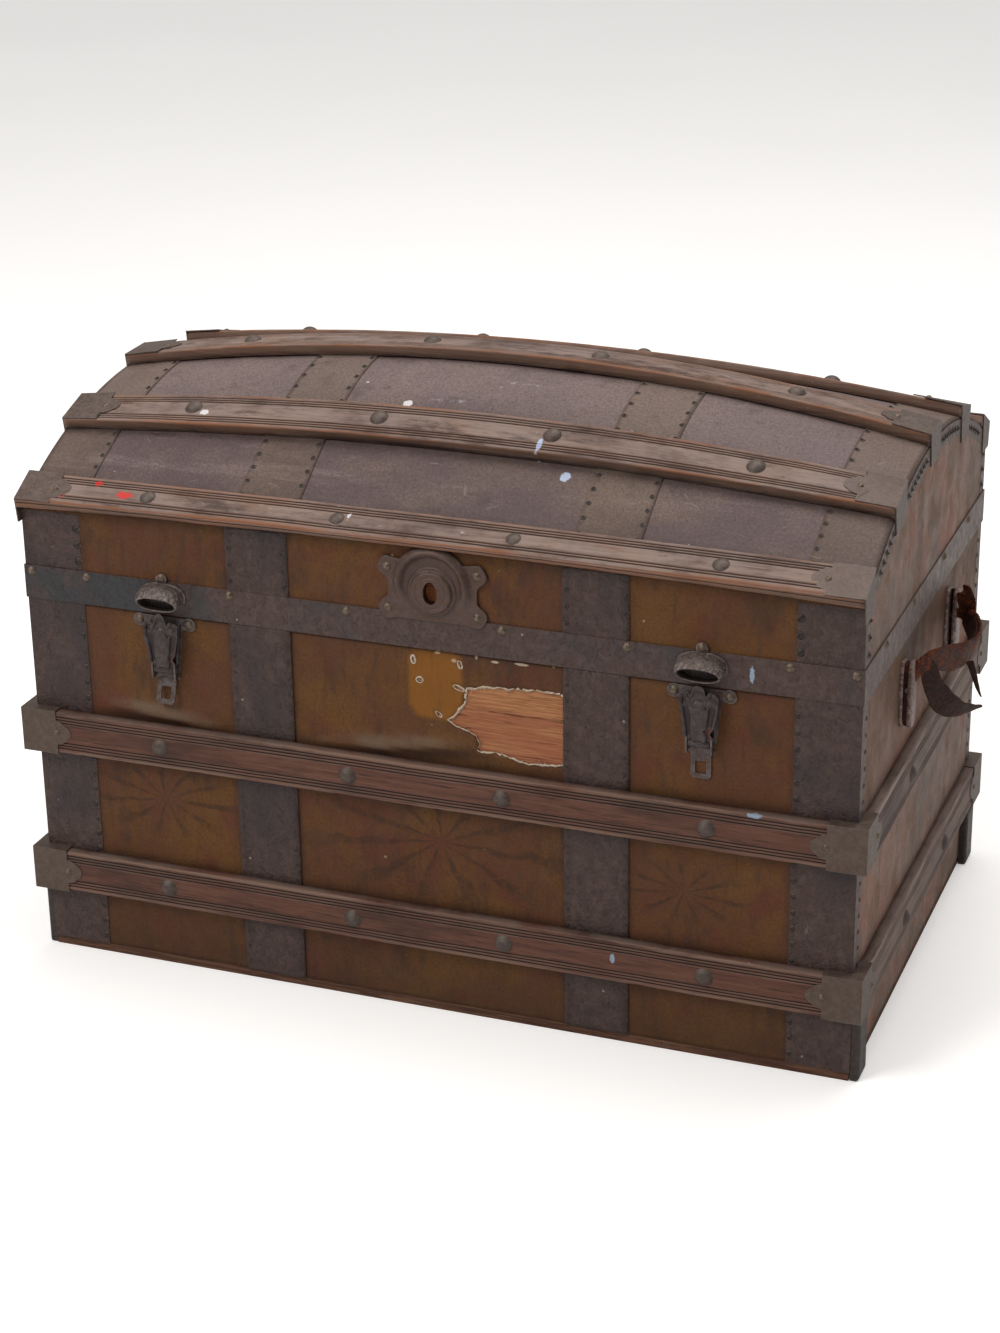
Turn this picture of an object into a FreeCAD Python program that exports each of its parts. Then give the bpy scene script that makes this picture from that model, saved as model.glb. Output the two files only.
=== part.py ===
import FreeCAD, Part
import math
import os

# Dome-top steamer trunk: canvas-covered pine box, sheet-iron trim and hardwood slats.
# Frame: origin under the middle of the base, +X along the front, +Y to the back, +Z up.
# Millimetres. Nominal faces (+-HALF_L, +-HALF_D) are the outer faces of the canvas.

V = FreeCAD.Vector

# ---- driving dimensions -------------------------------------------------------------------
LENGTH = 860.0
DEPTH = 520.0
SEAM_Z = 395.0          # where the lid leaves the base
LID_WALL = 97.0         # upright part of the lid
END_RISE = 75.0         # height of the roof's arc above the lid's walls, at the ends
CROWN = 42.0            # extra rise of the roof at mid-length
CROWN_FALL = 1.6        # how fast the crown dies out towards the front and back
BOARD = 11.0
BOTTOM = 9.0
STAVE = 5.0
CANVAS = 0.8
SHEET = 0.8             # sheet-iron strips and bindings
BAND = 1.2              # heavier band round the lid's rim
LINING = 0.4
CLEAT = 14.0            # cleats inside the ends that carried the tray
CLEAT_Z = 295.0
GAP = 0.1               # between flat pieces that lie on each other
ROOF_GAP = 0.3          # between the curved pieces of the roof

STRIP_EDGES = (141.0, 207.0)      # middle strips, from the centre line
CORNER_STRIP = 63.0               # front leg of a corner binding
BINDING_RETURN = 18.0             # its leg on the end face
BAND_HEIGHT = 35.0

SLAT_WIDTH = 45.0
SLAT_THICK = 11.0
SLAT_LIFT = 1.0                   # slats lie over the strips
ROOF_SLAT_LIFT = 1.5
SLAT_BOTTOMS = (72.0, 230.5)      # lower edges of the two rows on the base
ROOF_SLATS = (-138.0, 0.0, 138.0)
GROOVE = 1.5                      # width of a reed's groove
GROOVE_DEPTH = 1.1
GROOVE_PITCH = 3.2
GROOVE_MARGIN = 4.2
EDGE_OVERHANG = 10.0              # edge slats stand proud of the front and back
EDGE_LIP = 11.5                   # height of an edge slat's upright face
EDGE_INNER = 29.0                 # from the nominal face to an edge slat's inner edge
EDGE_SLOPE = 29.0                 # degrees, of an edge slat's top face

CLAMP_LEG = 38.0
CLAMP_SHEET = 1.2
CLAMP_TONGUE = 13.0
CLAMP_EASE = 0.4                  # room under the roof clamps, over the curved slats
ROOF_CLAMP_DROP = 34.0            # how far their plates hang below the slat's top
BASE_RIVETS = (81.0, 287.0)
ROOF_RIVETS = (90.0, 292.0)
END_RIVET = 90.0
BAND_RIVETS = (80.0, 205.0, 362.0, 424.0)
END_BAND_RIVETS = (66.0, 180.0)
TACK_ROWS = (145.0, 203.0, 370.5)
TACK_PITCH = 17.0
SHOE_HEIGHT = 64.0
ROOF_TACKS = 5                    # in each line between two slats
ARCH_TACKS = 41                   # round each end of the roof

LATCH_X = 278.0
LATCH_PIN_Z = SEAM_Z - 57.0
LATCH_PIN_OUT = 7.0
LATCH_PIN_R = 2.0
LATCH_SHEET = 1.8
LATCH_EAR_X = 27.0
LEFT_EYE_BENT = 20.0              # degrees outward
HOOD_Z = 20.0                     # above the seam
HOOD_EAR_Z = 39.0
HOOD_EAR = 1.6
LOCK_SHEET = 1.5
LOCK_X = 10.5                     # the lock sits a little right of the middle
LOCK_Z = 455.5
HINGE_PLACES = (-240.0, 240.0)
HINGE_OUT = 7.4
HINGE_WIDTH = 50.0
HINGE_LEAF = 62.0                 # height of a leaf from the pin
HINGE_PIN_R = 2.5
KNUCKLE_R = 5.0
RUNNING = 0.05                    # radial clearance of every turning fit

HANDLE_Z = 351.0
HANDLE_Y = 100.0
HANDLE_OUT = 9.0
HANDLE_PIN_R = 2.5
CAP_SHEET = 2.0
STRAP_WIDTH = 26.0
STRAP_THICK = 8.0
STRAP_BULGE = 40.0
STRAP_DROOP = 25.0
STRAP_NECK = 5.5                  # half height where it narrows to pass the caps
STRAP_NECK_LENGTH = 20.0

# ---- worked-out sizes -----------------------------------------------------------------------
HALF_L = LENGTH / 2
HALF_D = DEPTH / 2
ROOF_Z = SEAM_Z + LID_WALL
WOOD_L = HALF_L - CANVAS - GAP
WOOD_D = HALF_D - CANVAS - GAP
INNER_L = WOOD_L - BOARD
INNER_D = WOOD_D - BOARD
SLAT_OUT = SLAT_LIFT + SLAT_THICK
BAND_FACE = SLAT_LIFT + BAND
LOCK_NAILS = [(x, LOCK_Z + z) for x in (-46, 46) for z in (-21, 21)]
STAVE_TOP = -SHEET - ROOF_GAP
STAVE_UNDER = STAVE_TOP - STAVE
STATIONS = [HALF_L * k / 4 for k in range(-4, 5)]


# ---- small tools ----------------------------------------------------------------------------
def box(x0, x1, y0, y1, z0, z1):
    return Part.makeBox(x1 - x0, y1 - y0, z1 - z0, V(x0, y0, z0))


def compound(shapes):
    return Part.makeCompound(shapes)


def mirror_x(shape):
    return shape.mirror(V(0, 0, 0), V(1, 0, 0))


def mirror_y(shape):
    return shape.mirror(V(0, 0, 0), V(0, 1, 0))


def both_x(shape):
    return [shape, mirror_x(shape)]


def both_y(shape):
    return [shape, mirror_y(shape)]


def four_corners(shape):
    return both_x(shape) + both_x(mirror_y(shape))


def polygon_face(points):
    return Part.Face(Part.makePolygon(points + [points[0]]))


def headed(radius, height, shank_r, shank):
    """Domed head on z = 0 with a shank below it."""
    sphere_r = (radius ** 2 + height ** 2) / (2 * height)
    half = math.acos((sphere_r - height) / sphere_r) / 2
    shoulder = V(sphere_r * math.sin(half), 0, sphere_r * math.cos(half) - sphere_r + height)
    edges = [
        Part.Arc(V(radius, 0, 0), shoulder, V(0, 0, height)).toShape(),
        Part.makeLine(V(0, 0, height), V(0, 0, -shank)),
        Part.makeLine(V(0, 0, -shank), V(shank_r, 0, -shank)),
        Part.makeLine(V(shank_r, 0, -shank), V(shank_r, 0, 0)),
        Part.makeLine(V(shank_r, 0, 0), V(radius, 0, 0)),
    ]
    return Part.Face(Part.Wire(edges)).revolve(V(0, 0, 0), V(0, 0, 1), 360)


def placed(shape, position, outward):
    """A copy of a shape drawn along +Z, moved to a place and turned to face outward."""
    copy = shape.copy()
    copy.Placement = FreeCAD.Placement(position, FreeCAD.Rotation(V(0, 0, 1), outward))
    return copy


TACK = headed(2.3, 1.1, 0.7, 5.0)
NAIL = headed(4.6, 2.6, 1.3, 9.0)
RIVET = headed(9.5, 5.5, 2.5, 16.0)
CLAMP_NAIL = headed(3.2, 1.8, 1.0, 8.0)


# ---- the roof's surface ---------------------------------------------------------------------
ROOF_R = (HALF_D ** 2 + END_RISE ** 2) / (2 * END_RISE)


def roof_z(x, y):
    arc = math.sqrt(ROOF_R ** 2 - y ** 2) - (ROOF_R - END_RISE)
    crown = (1 - (x / HALF_L) ** 2) * max(0.0, 1 - (y / HALF_D) ** 2) ** CROWN_FALL
    return ROOF_Z + arc + CROWN * crown


def roof_normal(x, y):
    step = 0.5
    inner = y - math.copysign(step, y)
    slope = (roof_z(x, y) - roof_z(x, inner)) / (y - inner)
    size = math.hypot(1, slope)
    return V(0, -slope / size, 1 / size)


def roof_point(x, y, lift):
    return V(x, y, roof_z(x, y)) + roof_normal(x, y) * lift


def roof_curve(x, y0, y1, lift):
    count = max(3, int(abs(y1 - y0) / 40) + 2)
    points = [roof_point(x, y0 + (y1 - y0) * k / (count - 1), lift) for k in range(count)]
    curve = Part.BSplineCurve()
    curve.interpolate(points)
    return curve.toShape(), points[0], points[-1]


def roof_section(x, y0, y1, low, high):
    top, top_a, top_b = roof_curve(x, y0, y1, high)
    under, under_a, under_b = roof_curve(x, y0, y1, low)
    sides = [Part.makeLine(top_b, under_b), Part.makeLine(top_a, under_a)]
    return Part.Wire(Part.__sortEdges__([top, sides[0], under, sides[1]]))


def roof_sheet(x0, x1, y0, y1, low, high):
    """A piece that follows the roof between two lifts above its surface."""
    inside = [x for x in STATIONS if x0 + 5 < x < x1 - 5]
    stations = [x0] + inside + [x1]
    return Part.makeLoft([roof_section(x, y0, y1, low, high) for x in stations], True)


# ---- slats ----------------------------------------------------------------------------------
def slat_outline():
    """Section of a slat (across, out): square shoulders and three fine grooves by each long edge."""
    half = SLAT_WIDTH / 2
    chamfer = 1.2
    right = [(half, 0.0), (half, SLAT_THICK - 2.0), (half - chamfer, SLAT_THICK)]
    for k in range(3):
        edge = half - GROOVE_MARGIN - k * GROOVE_PITCH
        valley = (edge - GROOVE / 2, SLAT_THICK - GROOVE_DEPTH)
        right += [(edge, SLAT_THICK), valley, (edge - GROOVE, SLAT_THICK)]
    left = [(-across, out) for across, out in reversed(right)]
    return right + left


def long_slat(z0, half_length):
    """A straight slat on the front face."""
    face_y = -HALF_D - SLAT_LIFT
    mid = z0 + SLAT_WIDTH / 2
    points = [V(-half_length, face_y - out, mid + across) for across, out in slat_outline()]
    return polygon_face(points).extrude(V(2 * half_length, 0, 0))


def end_slat(z0, half_length):
    """A straight slat on the right end face."""
    face_x = HALF_L + SLAT_LIFT
    mid = z0 + SLAT_WIDTH / 2
    points = [V(face_x + out, -half_length, mid + across) for across, out in slat_outline()]
    return polygon_face(points).extrude(V(0, 2 * half_length, 0))


def roof_frame(x, y):
    """Foot, across and outward directions of a slat at one station on the roof."""
    out = roof_normal(x, y)
    return roof_point(x, y, ROOF_SLAT_LIFT), V(0, out.z, -out.y), out


def roof_slat_section(x, y):
    foot, across_dir, out_dir = roof_frame(x, y)
    return [foot + across_dir * across + out_dir * out for across, out in slat_outline()]


def roof_slat(y):
    reach = HALF_L + SLAT_LIFT
    stations = [-reach] + STATIONS[1:-1] + [reach]
    sections = [Part.makePolygon(roof_slat_section(x, y) + [roof_slat_section(x, y)[0]]) for x in stations]
    return Part.makeLoft(sections, True)


def edge_slat_points(x):
    """Front edge slat: upright lip, sloping top, underside resting near the roof's edge."""
    inner_y = -HALF_D + EDGE_INNER
    clamped_x = max(-HALF_L, min(HALF_L, x))
    heel = V(x, inner_y, roof_z(clamped_x, inner_y) + ROOF_SLAT_LIFT)
    toe = V(x, -HALF_D - EDGE_OVERHANG, ROOF_Z - 1.5)
    lip = toe + V(0, 0, EDGE_LIP)
    slope = math.radians(EDGE_SLOPE)
    crest = heel + V(0, -math.sin(slope), math.cos(slope)) * SLAT_THICK
    return [toe, lip, crest, heel]


def edge_slat():
    reach = HALF_L + SLAT_LIFT
    stations = [-reach] + STATIONS[1:-1] + [reach]
    return Part.makeLoft([Part.makePolygon(edge_slat_points(x) + [edge_slat_points(x)[0]]) for x in stations],
                         True)


# ---- base: boards, canvas, trim ---------------------------------------------------------------
def wall_pair(z0, z1):
    """Front and right boards between two heights."""
    front = box(-WOOD_L, WOOD_L, -WOOD_D, -INNER_D, z0, z1)
    right = box(INNER_L, WOOD_L, -INNER_D + GAP, INNER_D - GAP, z0, z1)
    return front, right


def corner_binding(z0, z1):
    """Sheet-iron angle on the front right corner."""
    outer_x = HALF_L + GAP + SHEET
    outer_y = -HALF_D - GAP - SHEET
    outline = [
        V(HALF_L - CORNER_STRIP, outer_y, z0),
        V(outer_x, outer_y, z0),
        V(outer_x, -HALF_D + BINDING_RETURN, z0),
        V(HALF_L + GAP, -HALF_D + BINDING_RETURN, z0),
        V(HALF_L + GAP, -HALF_D - GAP, z0),
        V(HALF_L - CORNER_STRIP, -HALF_D - GAP, z0),
    ]
    return polygon_face(outline).extrude(V(0, 0, z1 - z0))


def middle_strip(z0, z1):
    return box(STRIP_EDGES[0], STRIP_EDGES[1], -HALF_D - GAP - SHEET, -HALF_D - GAP, z0, z1)


def tongue(centre, along, normal):
    """Rounded tongue of a clamp, lying in the plane square to normal."""
    disc = Part.makeCylinder(CLAMP_TONGUE, CLAMP_SHEET, centre, normal)
    reach = Part.makeCylinder(CLAMP_TONGUE * 0.62, CLAMP_SHEET, centre + along * CLAMP_TONGUE * 0.62, normal)
    return disc.fuse(reach)


def base_clamp(z0):
    """Wraps the joint of a front slat and an end slat at the front right corner."""
    face_y = -HALF_D - SLAT_OUT
    face_x = HALF_L + SLAT_OUT
    low = z0 - GAP - CLAMP_SHEET
    high = z0 + SLAT_WIDTH + GAP + CLAMP_SHEET
    skin = GAP + CLAMP_SHEET
    outer = box(face_x - CLAMP_LEG, face_x + skin, face_y - skin, -HALF_D - SLAT_LIFT, low, high)
    outer = outer.fuse(box(HALF_L + SLAT_LIFT, face_x + skin, face_y - skin, face_y + CLAMP_LEG, low, high))
    room = box(0, face_x + GAP, face_y - GAP, 0, z0 - GAP, z0 + SLAT_WIDTH + GAP)
    shell = outer.cut(room)
    mid = z0 + SLAT_WIDTH / 2
    front = tongue(V(face_x - CLAMP_LEG, face_y - GAP, mid), V(-1, 0, 0), V(0, -1, 0))
    side = tongue(V(face_x + GAP, face_y + CLAMP_LEG, mid), V(0, 1, 0), V(1, 0, 0))
    return shell.fuse([front, side]).removeSplitter()


def roof_clamp(top_edges):
    """Cap on the right end of a roof slat. top_edges gives both edges of its top face at one x."""
    end_x = HALF_L + SLAT_LIFT
    inner_x = end_x - CLAMP_LEG
    outer_x = end_x + GAP + CLAMP_SHEET

    def across_and_out(x):
        low_edge, high_edge = top_edges(x)
        across = (high_edge - low_edge).normalize()
        return across, V(0, -across.z, across.y)

    def middle(x):
        low_edge, high_edge = top_edges(x)
        return (low_edge + high_edge) * 0.5

    half = (top_edges(end_x)[1] - top_edges(end_x)[0]).Length / 2 + CLAMP_EASE
    sections = []
    for x in (inner_x, (inner_x + end_x) / 2, outer_x):
        across, out = across_and_out(x)
        under = middle(x) + out * CLAMP_EASE
        over = under + out * CLAMP_SHEET
        corners = [under - across * half, under + across * half, over + across * half, over - across * half]
        sections.append(Part.makePolygon(corners + [corners[0]]))
    top = Part.makeLoft(sections, True)

    across, out = across_and_out(end_x)
    crest = middle(end_x) + out * (CLAMP_EASE + CLAMP_SHEET)
    foot = middle(end_x) + V(0, 0, -ROOF_CLAMP_DROP)
    plate = [crest - across * half, crest + across * half, V(0, foot.y + half * 0.72, foot.z),
             V(0, foot.y - half * 0.72, foot.z)]
    drop = polygon_face([V(end_x + GAP, p.y, p.z) for p in plate]).extrude(V(CLAMP_SHEET, 0, 0))

    out = across_and_out(inner_x)[1]
    start = middle(inner_x)
    along = (middle(inner_x - CLAMP_TONGUE) - start).normalize()
    tilt = FreeCAD.Rotation(V(-1, 0, 0), along)
    lobe = tongue(start + out * CLAMP_EASE, along, tilt.multVec(out))
    return top.fuse([drop, lobe])


def corner_shoe():
    """Iron shoe low on the right end face by the front corner, with a rounded foot."""
    x0 = HALF_L + GAP + SHEET + GAP
    shoe = box(x0, x0 + 9, -HALF_D + 0.5, -HALF_D + 31, 0.5, SHOE_HEIGHT)
    rounded = [edge for edge in shoe.Edges
               if abs(edge.Vertexes[0].X - x0 - 9) < 0.01 and abs(edge.Vertexes[1].X - x0 - 9) < 0.01]
    return shoe.makeFillet(3.5, rounded)


# ---- latches, lock, hinges, handles -----------------------------------------------------------
def at_front(shape, x, out=0.0):
    """Moves hardware drawn on the plane y = 0 (outward is -Y) to the trunk's front."""
    copy = shape.copy()
    copy.translate(V(x, -HALF_D - out, 0))
    return copy


def outline_plate(points, out, thick):
    """Flat plate whose outline is given as (x, height above the seam)."""
    return polygon_face([V(x, -out, SEAM_Z + z) for x, z in points]).extrude(V(0, -thick, 0))


def latch_plate(eye_tilt):
    """Back plate with two ears, cheeks for the pin and a square eye at its foot."""
    out = GAP
    thick = LATCH_SHEET
    body = outline_plate([(-21, -2), (21, -2), (13.5, -68), (-13.5, -68)], out, thick)
    ears = [Part.makeCylinder(7.0, thick, V(side * LATCH_EAR_X, -out, SEAM_Z - 8), V(0, -1, 0))
            for side in (-1, 1)]
    arms = outline_plate([(-27, -14), (-27, -2), (27, -2), (27, -14)], out, thick)
    cheeks = [box(side * 12.3 - 0.9, side * 12.3 + 0.9, -LATCH_PIN_OUT - 4, -out - 0.5, LATCH_PIN_Z - 9,
                  LATCH_PIN_Z + 8) for side in (-1, 1)]
    eye = outline_plate([(-10, -67), (10, -67), (10, -92), (7, -95), (-7, -95), (-10, -92)], out, thick)
    eye = eye.cut(box(-5.5, 5.5, -thick - out - 1, 1, SEAM_Z - 90, SEAM_Z - 77))
    eye.rotate(V(0, -out, SEAM_Z - 67), V(1, 0, 0), -eye_tilt)
    plate = body.fuse(ears + [arms, eye] + cheeks)
    bore = Part.makeCylinder(LATCH_PIN_R, 40, V(-20, -LATCH_PIN_OUT, LATCH_PIN_Z), V(1, 0, 0))
    return plate.cut(bore).removeSplitter()


def latch_pin():
    length = 28.0
    return Part.makeCylinder(LATCH_PIN_R, length, V(-length / 2, -LATCH_PIN_OUT, LATCH_PIN_Z), V(1, 0, 0))


def latch_lever():
    """Tapered pressed lever that swings out and down about the pin at the plate's foot."""
    thick = LATCH_SHEET
    face_out = LATCH_PIN_OUT + 1.6
    neck = outline_plate([(-10.5, -57), (10.5, -57), (10.5, -45), (-10.5, -45)], face_out, thick)
    jagged = [(-13, -45.5), (13, -45.5), (18.5, -6), (8, -10), (-6, -8), (-18.5, -5)]
    face = outline_plate(jagged, face_out, thick)
    rib = outline_plate([(-5, -48), (5, -48), (8, -18), (-8, -18)], face_out + 1.6, 1.6)
    sides = []
    for side in (-1, 1):
        wall = [(13, -45), (18.3, -9), (16.8, -9), (11.5, -45)]
        outline = [V(side * x, -3.0, SEAM_Z + z) for x, z in wall]
        sides.append(polygon_face(outline).extrude(V(0, -face_out + 2.0, 0)))
    barrel = Part.makeCylinder(LATCH_PIN_R + 2.2, 21, V(-10.5, -LATCH_PIN_OUT, LATCH_PIN_Z), V(1, 0, 0))
    lever = neck.fuse([face, rib, barrel] + sides)
    bore = Part.makeCylinder(LATCH_PIN_R + RUNNING, 40, V(-20, -LATCH_PIN_OUT, LATCH_PIN_Z), V(1, 0, 0))
    return lever.cut(bore).removeSplitter()


def oval(centre, half_x, half_z):
    wide, tall = V(half_x, 0, 0), V(0, 0, half_z)
    major, minor = (wide, tall) if half_x > half_z else (tall, wide)
    return Part.Wire(Part.Ellipse(centre + major, centre + minor, centre).toShape())


def latch_hood():
    """Pressed cup on the lid's band that the lever's hook reaches into."""
    foot = BAND_FACE + GAP
    rise = SEAM_Z + HOOD_Z
    outer = Part.makeLoft([oval(V(0, -foot, rise), 27.5, 15.5), oval(V(0, -foot - 7, rise - 1), 26, 14),
                           oval(V(0, -foot - 14, rise - 4), 21.5, 8.5)], True)
    room = Part.makeLoft([oval(V(0, -foot - 1.5, rise - 0.5), 24.5, 12.5),
                          oval(V(0, -foot - 7, rise - 1.5), 23.5, 11.5),
                          oval(V(0, -foot - 14.2, rise - 4), 19, 6)], True)
    ear = Part.makeCylinder(7.0, HOOD_EAR, V(0, -foot, SEAM_Z + HOOD_EAR_Z), V(0, -1, 0))
    return outer.cut(room).fuse(ear).removeSplitter()


def lock_plate():
    """Four-lobed escutcheon with a raised ring and a domed cover with an oval keyhole."""
    foot = BAND_FACE + GAP
    thick = LOCK_SHEET
    mid = LOCK_Z - SEAM_Z
    right = [(41, mid - 34), (38, mid - 16), (38, mid + 10), (41, mid + 28)]
    outline = right + [(-x, z) for x, z in reversed(right)]
    plate = outline_plate(outline, foot, thick)
    lobes = [Part.makeCylinder(9.5, thick, V(x, -foot, z), V(0, -1, 0)) for x, z in LOCK_NAILS]
    disc = Part.makeCylinder(37, thick, V(0, -foot, LOCK_Z), V(0, -1, 0))
    ring = Part.makeTorus(31, 5.0, V(0, -foot, LOCK_Z), V(0, -1, 0), 0, 360)
    dome_r = 44
    dome = Part.makeSphere(dome_r, V(0, dome_r - foot - 8.5, LOCK_Z))
    dome = dome.common(Part.makeCylinder(24, 20, V(0, -foot, LOCK_Z), V(0, -1, 0)))
    shell = plate.fuse(lobes + [disc, dome])
    front = box(-60, 60, -foot - 30, -foot, LOCK_Z - 60, LOCK_Z + 60)
    shell = shell.fuse(ring.common(front))
    keyhole = Part.Face(oval(V(0, 10, LOCK_Z), 6.2, 10.5)).extrude(V(0, -40, 0))
    return shell.cut(keyhole).removeSplitter()


def hinge_leaf(upper):
    """One leaf of a butt hinge on the back face; the knuckles share the pin between them."""
    axis_y = HALF_D + HINGE_OUT
    outer = axis_y - KNUCKLE_R + 2.0
    inner = HALF_D + GAP + (BAND_FACE if upper else 0.0)
    half = HINGE_WIDTH / 2
    third = HINGE_WIDTH / 3
    side_gap = 0.3
    clear = KNUCKLE_R + 1.5
    if upper:
        spans = [(-half + third + side_gap, half - third - side_gap)]
        near, far = SEAM_Z + clear, SEAM_Z + HINGE_LEAF
    else:
        spans = [(-half, -half + third - side_gap), (half - third + side_gap, half)]
        near, far = SEAM_Z - clear, SEAM_Z - HINGE_LEAF
    leaf = box(-half, half, inner, outer, min(near, far), max(near, far))
    for x0, x1 in spans:
        tab = box(x0, x1, outer - 2.0, outer, min(SEAM_Z, near), max(SEAM_Z, near))
        barrel = Part.makeCylinder(KNUCKLE_R, x1 - x0, V(x0, axis_y, SEAM_Z), V(1, 0, 0))
        leaf = leaf.fuse([tab, barrel])
    clearance = RUNNING if upper else 0.0
    bore = Part.makeCylinder(HINGE_PIN_R + clearance, 80, V(-40, axis_y, SEAM_Z), V(1, 0, 0))
    return leaf.cut(bore).removeSplitter()


def hinge_pin():
    start = V(-HINGE_WIDTH / 2, HALF_D + HINGE_OUT, SEAM_Z)
    return Part.makeCylinder(HINGE_PIN_R, HINGE_WIDTH, start, V(1, 0, 0))


def handle_cap():
    """Plate with a cheek that carries the handle's pin, at the front of the right end."""
    x0 = HALF_L + GAP
    front_y = -HANDLE_Y - 13
    plate = box(x0, x0 + CAP_SHEET, front_y, -HANDLE_Y + 12, HANDLE_Z - 42, HANDLE_Z + 22)
    corners = [edge for edge in plate.Edges if abs(edge.Vertexes[0].X - edge.Vertexes[1].X) > 1.5]
    plate = plate.makeFillet(5, corners)
    cheek = box(x0, x0 + 15, front_y, front_y + 3.5, HANDLE_Z - 9, HANDLE_Z + 9)
    bore = Part.makeCylinder(HANDLE_PIN_R, 30, V(HALF_L + HANDLE_OUT, -HANDLE_Y - 20, HANDLE_Z), V(0, 1, 0))
    return plate.fuse(cheek).cut(bore)


def handle_pin():
    return Part.makeCylinder(HANDLE_PIN_R, 22, V(HALF_L + HANDLE_OUT, -HANDLE_Y - 13, HANDLE_Z), V(0, 1, 0))


def handle_strap():
    """Leather strap bowed out from the right end, with an eye over a pin at each end."""
    axis_x = HALF_L + HANDLE_OUT
    start = HANDLE_Y - 1
    bow_r = (start ** 2 + STRAP_BULGE ** 2) / (2 * STRAP_BULGE)
    centre = V(axis_x + STRAP_BULGE - bow_r, 0, HANDLE_Z - STRAP_WIDTH / 2)
    bow = Part.makeCylinder(bow_r + STRAP_THICK / 2, STRAP_WIDTH, centre)
    bow = bow.cut(Part.makeCylinder(bow_r - STRAP_THICK / 2, STRAP_WIDTH, centre))
    bow = bow.common(box(axis_x + 2, axis_x + 100, -start, start, 0, SEAM_Z))
    neck = HANDLE_Y - STRAP_NECK_LENGTH
    for y0, y1 in ((-HANDLE_Y, -neck), (neck, HANDLE_Y)):
        bow = bow.cut(box(axis_x, axis_x + 100, y0, y1, HANDLE_Z + STRAP_NECK, SEAM_Z))
        bow = bow.cut(box(axis_x, axis_x + 100, y0, y1, 0, HANDLE_Z - STRAP_NECK))
    eyes = [Part.makeCylinder(HANDLE_PIN_R + 2.6, 17, V(axis_x, y, HANDLE_Z), V(0, 1, 0))
            for y in (-HANDLE_Y - 8.5, HANDLE_Y - 8.5)]
    strap = bow.fuse(eyes)
    bore = Part.makeCylinder(HANDLE_PIN_R + RUNNING, 300, V(axis_x, -150, HANDLE_Z), V(0, 1, 0))
    strap = strap.cut(bore).removeSplitter()
    strap.rotate(V(axis_x, 0, HANDLE_Z), V(0, 1, 0), STRAP_DROOP)
    return strap


# ---- fasteners --------------------------------------------------------------------------------
def clear_of_slats(z):
    return all(not (z0 - 5 < z < z0 + SLAT_WIDTH + 5) for z0 in SLAT_BOTTOMS)


def base_tacks():
    """Tacks along the strips' edges on the front and back, and on the bindings' end legs."""
    face = HALF_D + GAP + SHEET
    side = HALF_L + GAP + SHEET
    first = 20.0
    count = int((SEAM_Z - first - 10) / TACK_PITCH) + 1
    heights = [first + k * TACK_PITCH for k in range(count) if clear_of_slats(first + k * TACK_PITCH)]
    tacks = []
    for z in heights:
        for x in TACK_ROWS:
            tacks += four_corners(placed(TACK, V(x, -face, z), V(0, -1, 0)))
        if z > SHOE_HEIGHT:
            tacks += four_corners(placed(TACK, V(side, -HALF_D + BINDING_RETURN - 5, z), V(1, 0, 0)))
    return compound(tacks)


def lid_tacks():
    """Tacks on the lid's walls, over the roof between the slats and round the end arches."""
    face = HALF_D + GAP + SHEET
    side = HALF_L + GAP + SHEET
    tacks = []
    for z in (SEAM_Z + 45, SEAM_Z + 62, SEAM_Z + 79):
        for x in TACK_ROWS:
            tacks += four_corners(placed(TACK, V(x, -face, z), V(0, -1, 0)))
        tacks += four_corners(placed(TACK, V(side, -HALF_D + BINDING_RETURN - 5, z), V(1, 0, 0)))
    edge_middle = HALF_D - EDGE_INNER + SLAT_WIDTH / 2
    lines = [-edge_middle] + list(ROOF_SLATS) + [edge_middle]
    margin = SLAT_WIDTH / 2 + 6
    for lower, upper in zip(lines[:-1], lines[1:]):
        for k in range(ROOF_TACKS):
            y = lower + margin + (upper - lower - 2 * margin) * k / (ROOF_TACKS - 1)
            for x in TACK_ROWS:
                tacks += both_x(placed(TACK, roof_point(x, y, ROOF_GAP + SHEET), roof_normal(x, y)))
    reach = HALF_D - 18
    for k in range(ARCH_TACKS):
        y = reach * (2 * k / (ARCH_TACKS - 1) - 1)
        under_clamp = min(abs(y - slat) for slat in ROOF_SLATS) < SLAT_WIDTH / 2 + 5
        if under_clamp or abs(y) > HALF_D - EDGE_INNER - 2:
            continue
        under = roof_point(HALF_L, y, -9)
        tacks += both_x(placed(TACK, V(side, under.y, under.z), V(1, 0, 0)))
    return compound(tacks)


def base_rivets():
    """Dome-headed rivets that hold the slats to the base."""
    rivets = []
    for z0 in SLAT_BOTTOMS:
        mid = z0 + SLAT_WIDTH / 2
        for x in BASE_RIVETS:
            rivets += four_corners(placed(RIVET, V(x, -HALF_D - SLAT_OUT, mid), V(0, -1, 0)))
        rivets += four_corners(placed(RIVET, V(HALF_L + SLAT_OUT, -END_RIVET, mid), V(1, 0, 0)))
    return compound(rivets)


def base_clamp_nails():
    nails = []
    skin = GAP + CLAMP_SHEET
    for z0 in SLAT_BOTTOMS:
        mid = z0 + SLAT_WIDTH / 2
        front = V(HALF_L + SLAT_OUT - CLAMP_LEG, -HALF_D - SLAT_OUT - skin, mid)
        side = V(HALF_L + SLAT_OUT + skin, -HALF_D - SLAT_OUT + CLAMP_LEG, mid)
        nails += four_corners(placed(CLAMP_NAIL, front, V(0, -1, 0)))
        nails += four_corners(placed(CLAMP_NAIL, side, V(1, 0, 0)))
    return nails


def edge_slat_top(x):
    """Middle of the front edge slat's top face, and its outward direction."""
    points = edge_slat_points(x)
    along = (points[2] - points[1]).normalize()
    return (points[1] + points[2]) * 0.5, V(0, -along.z, along.y)


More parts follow.
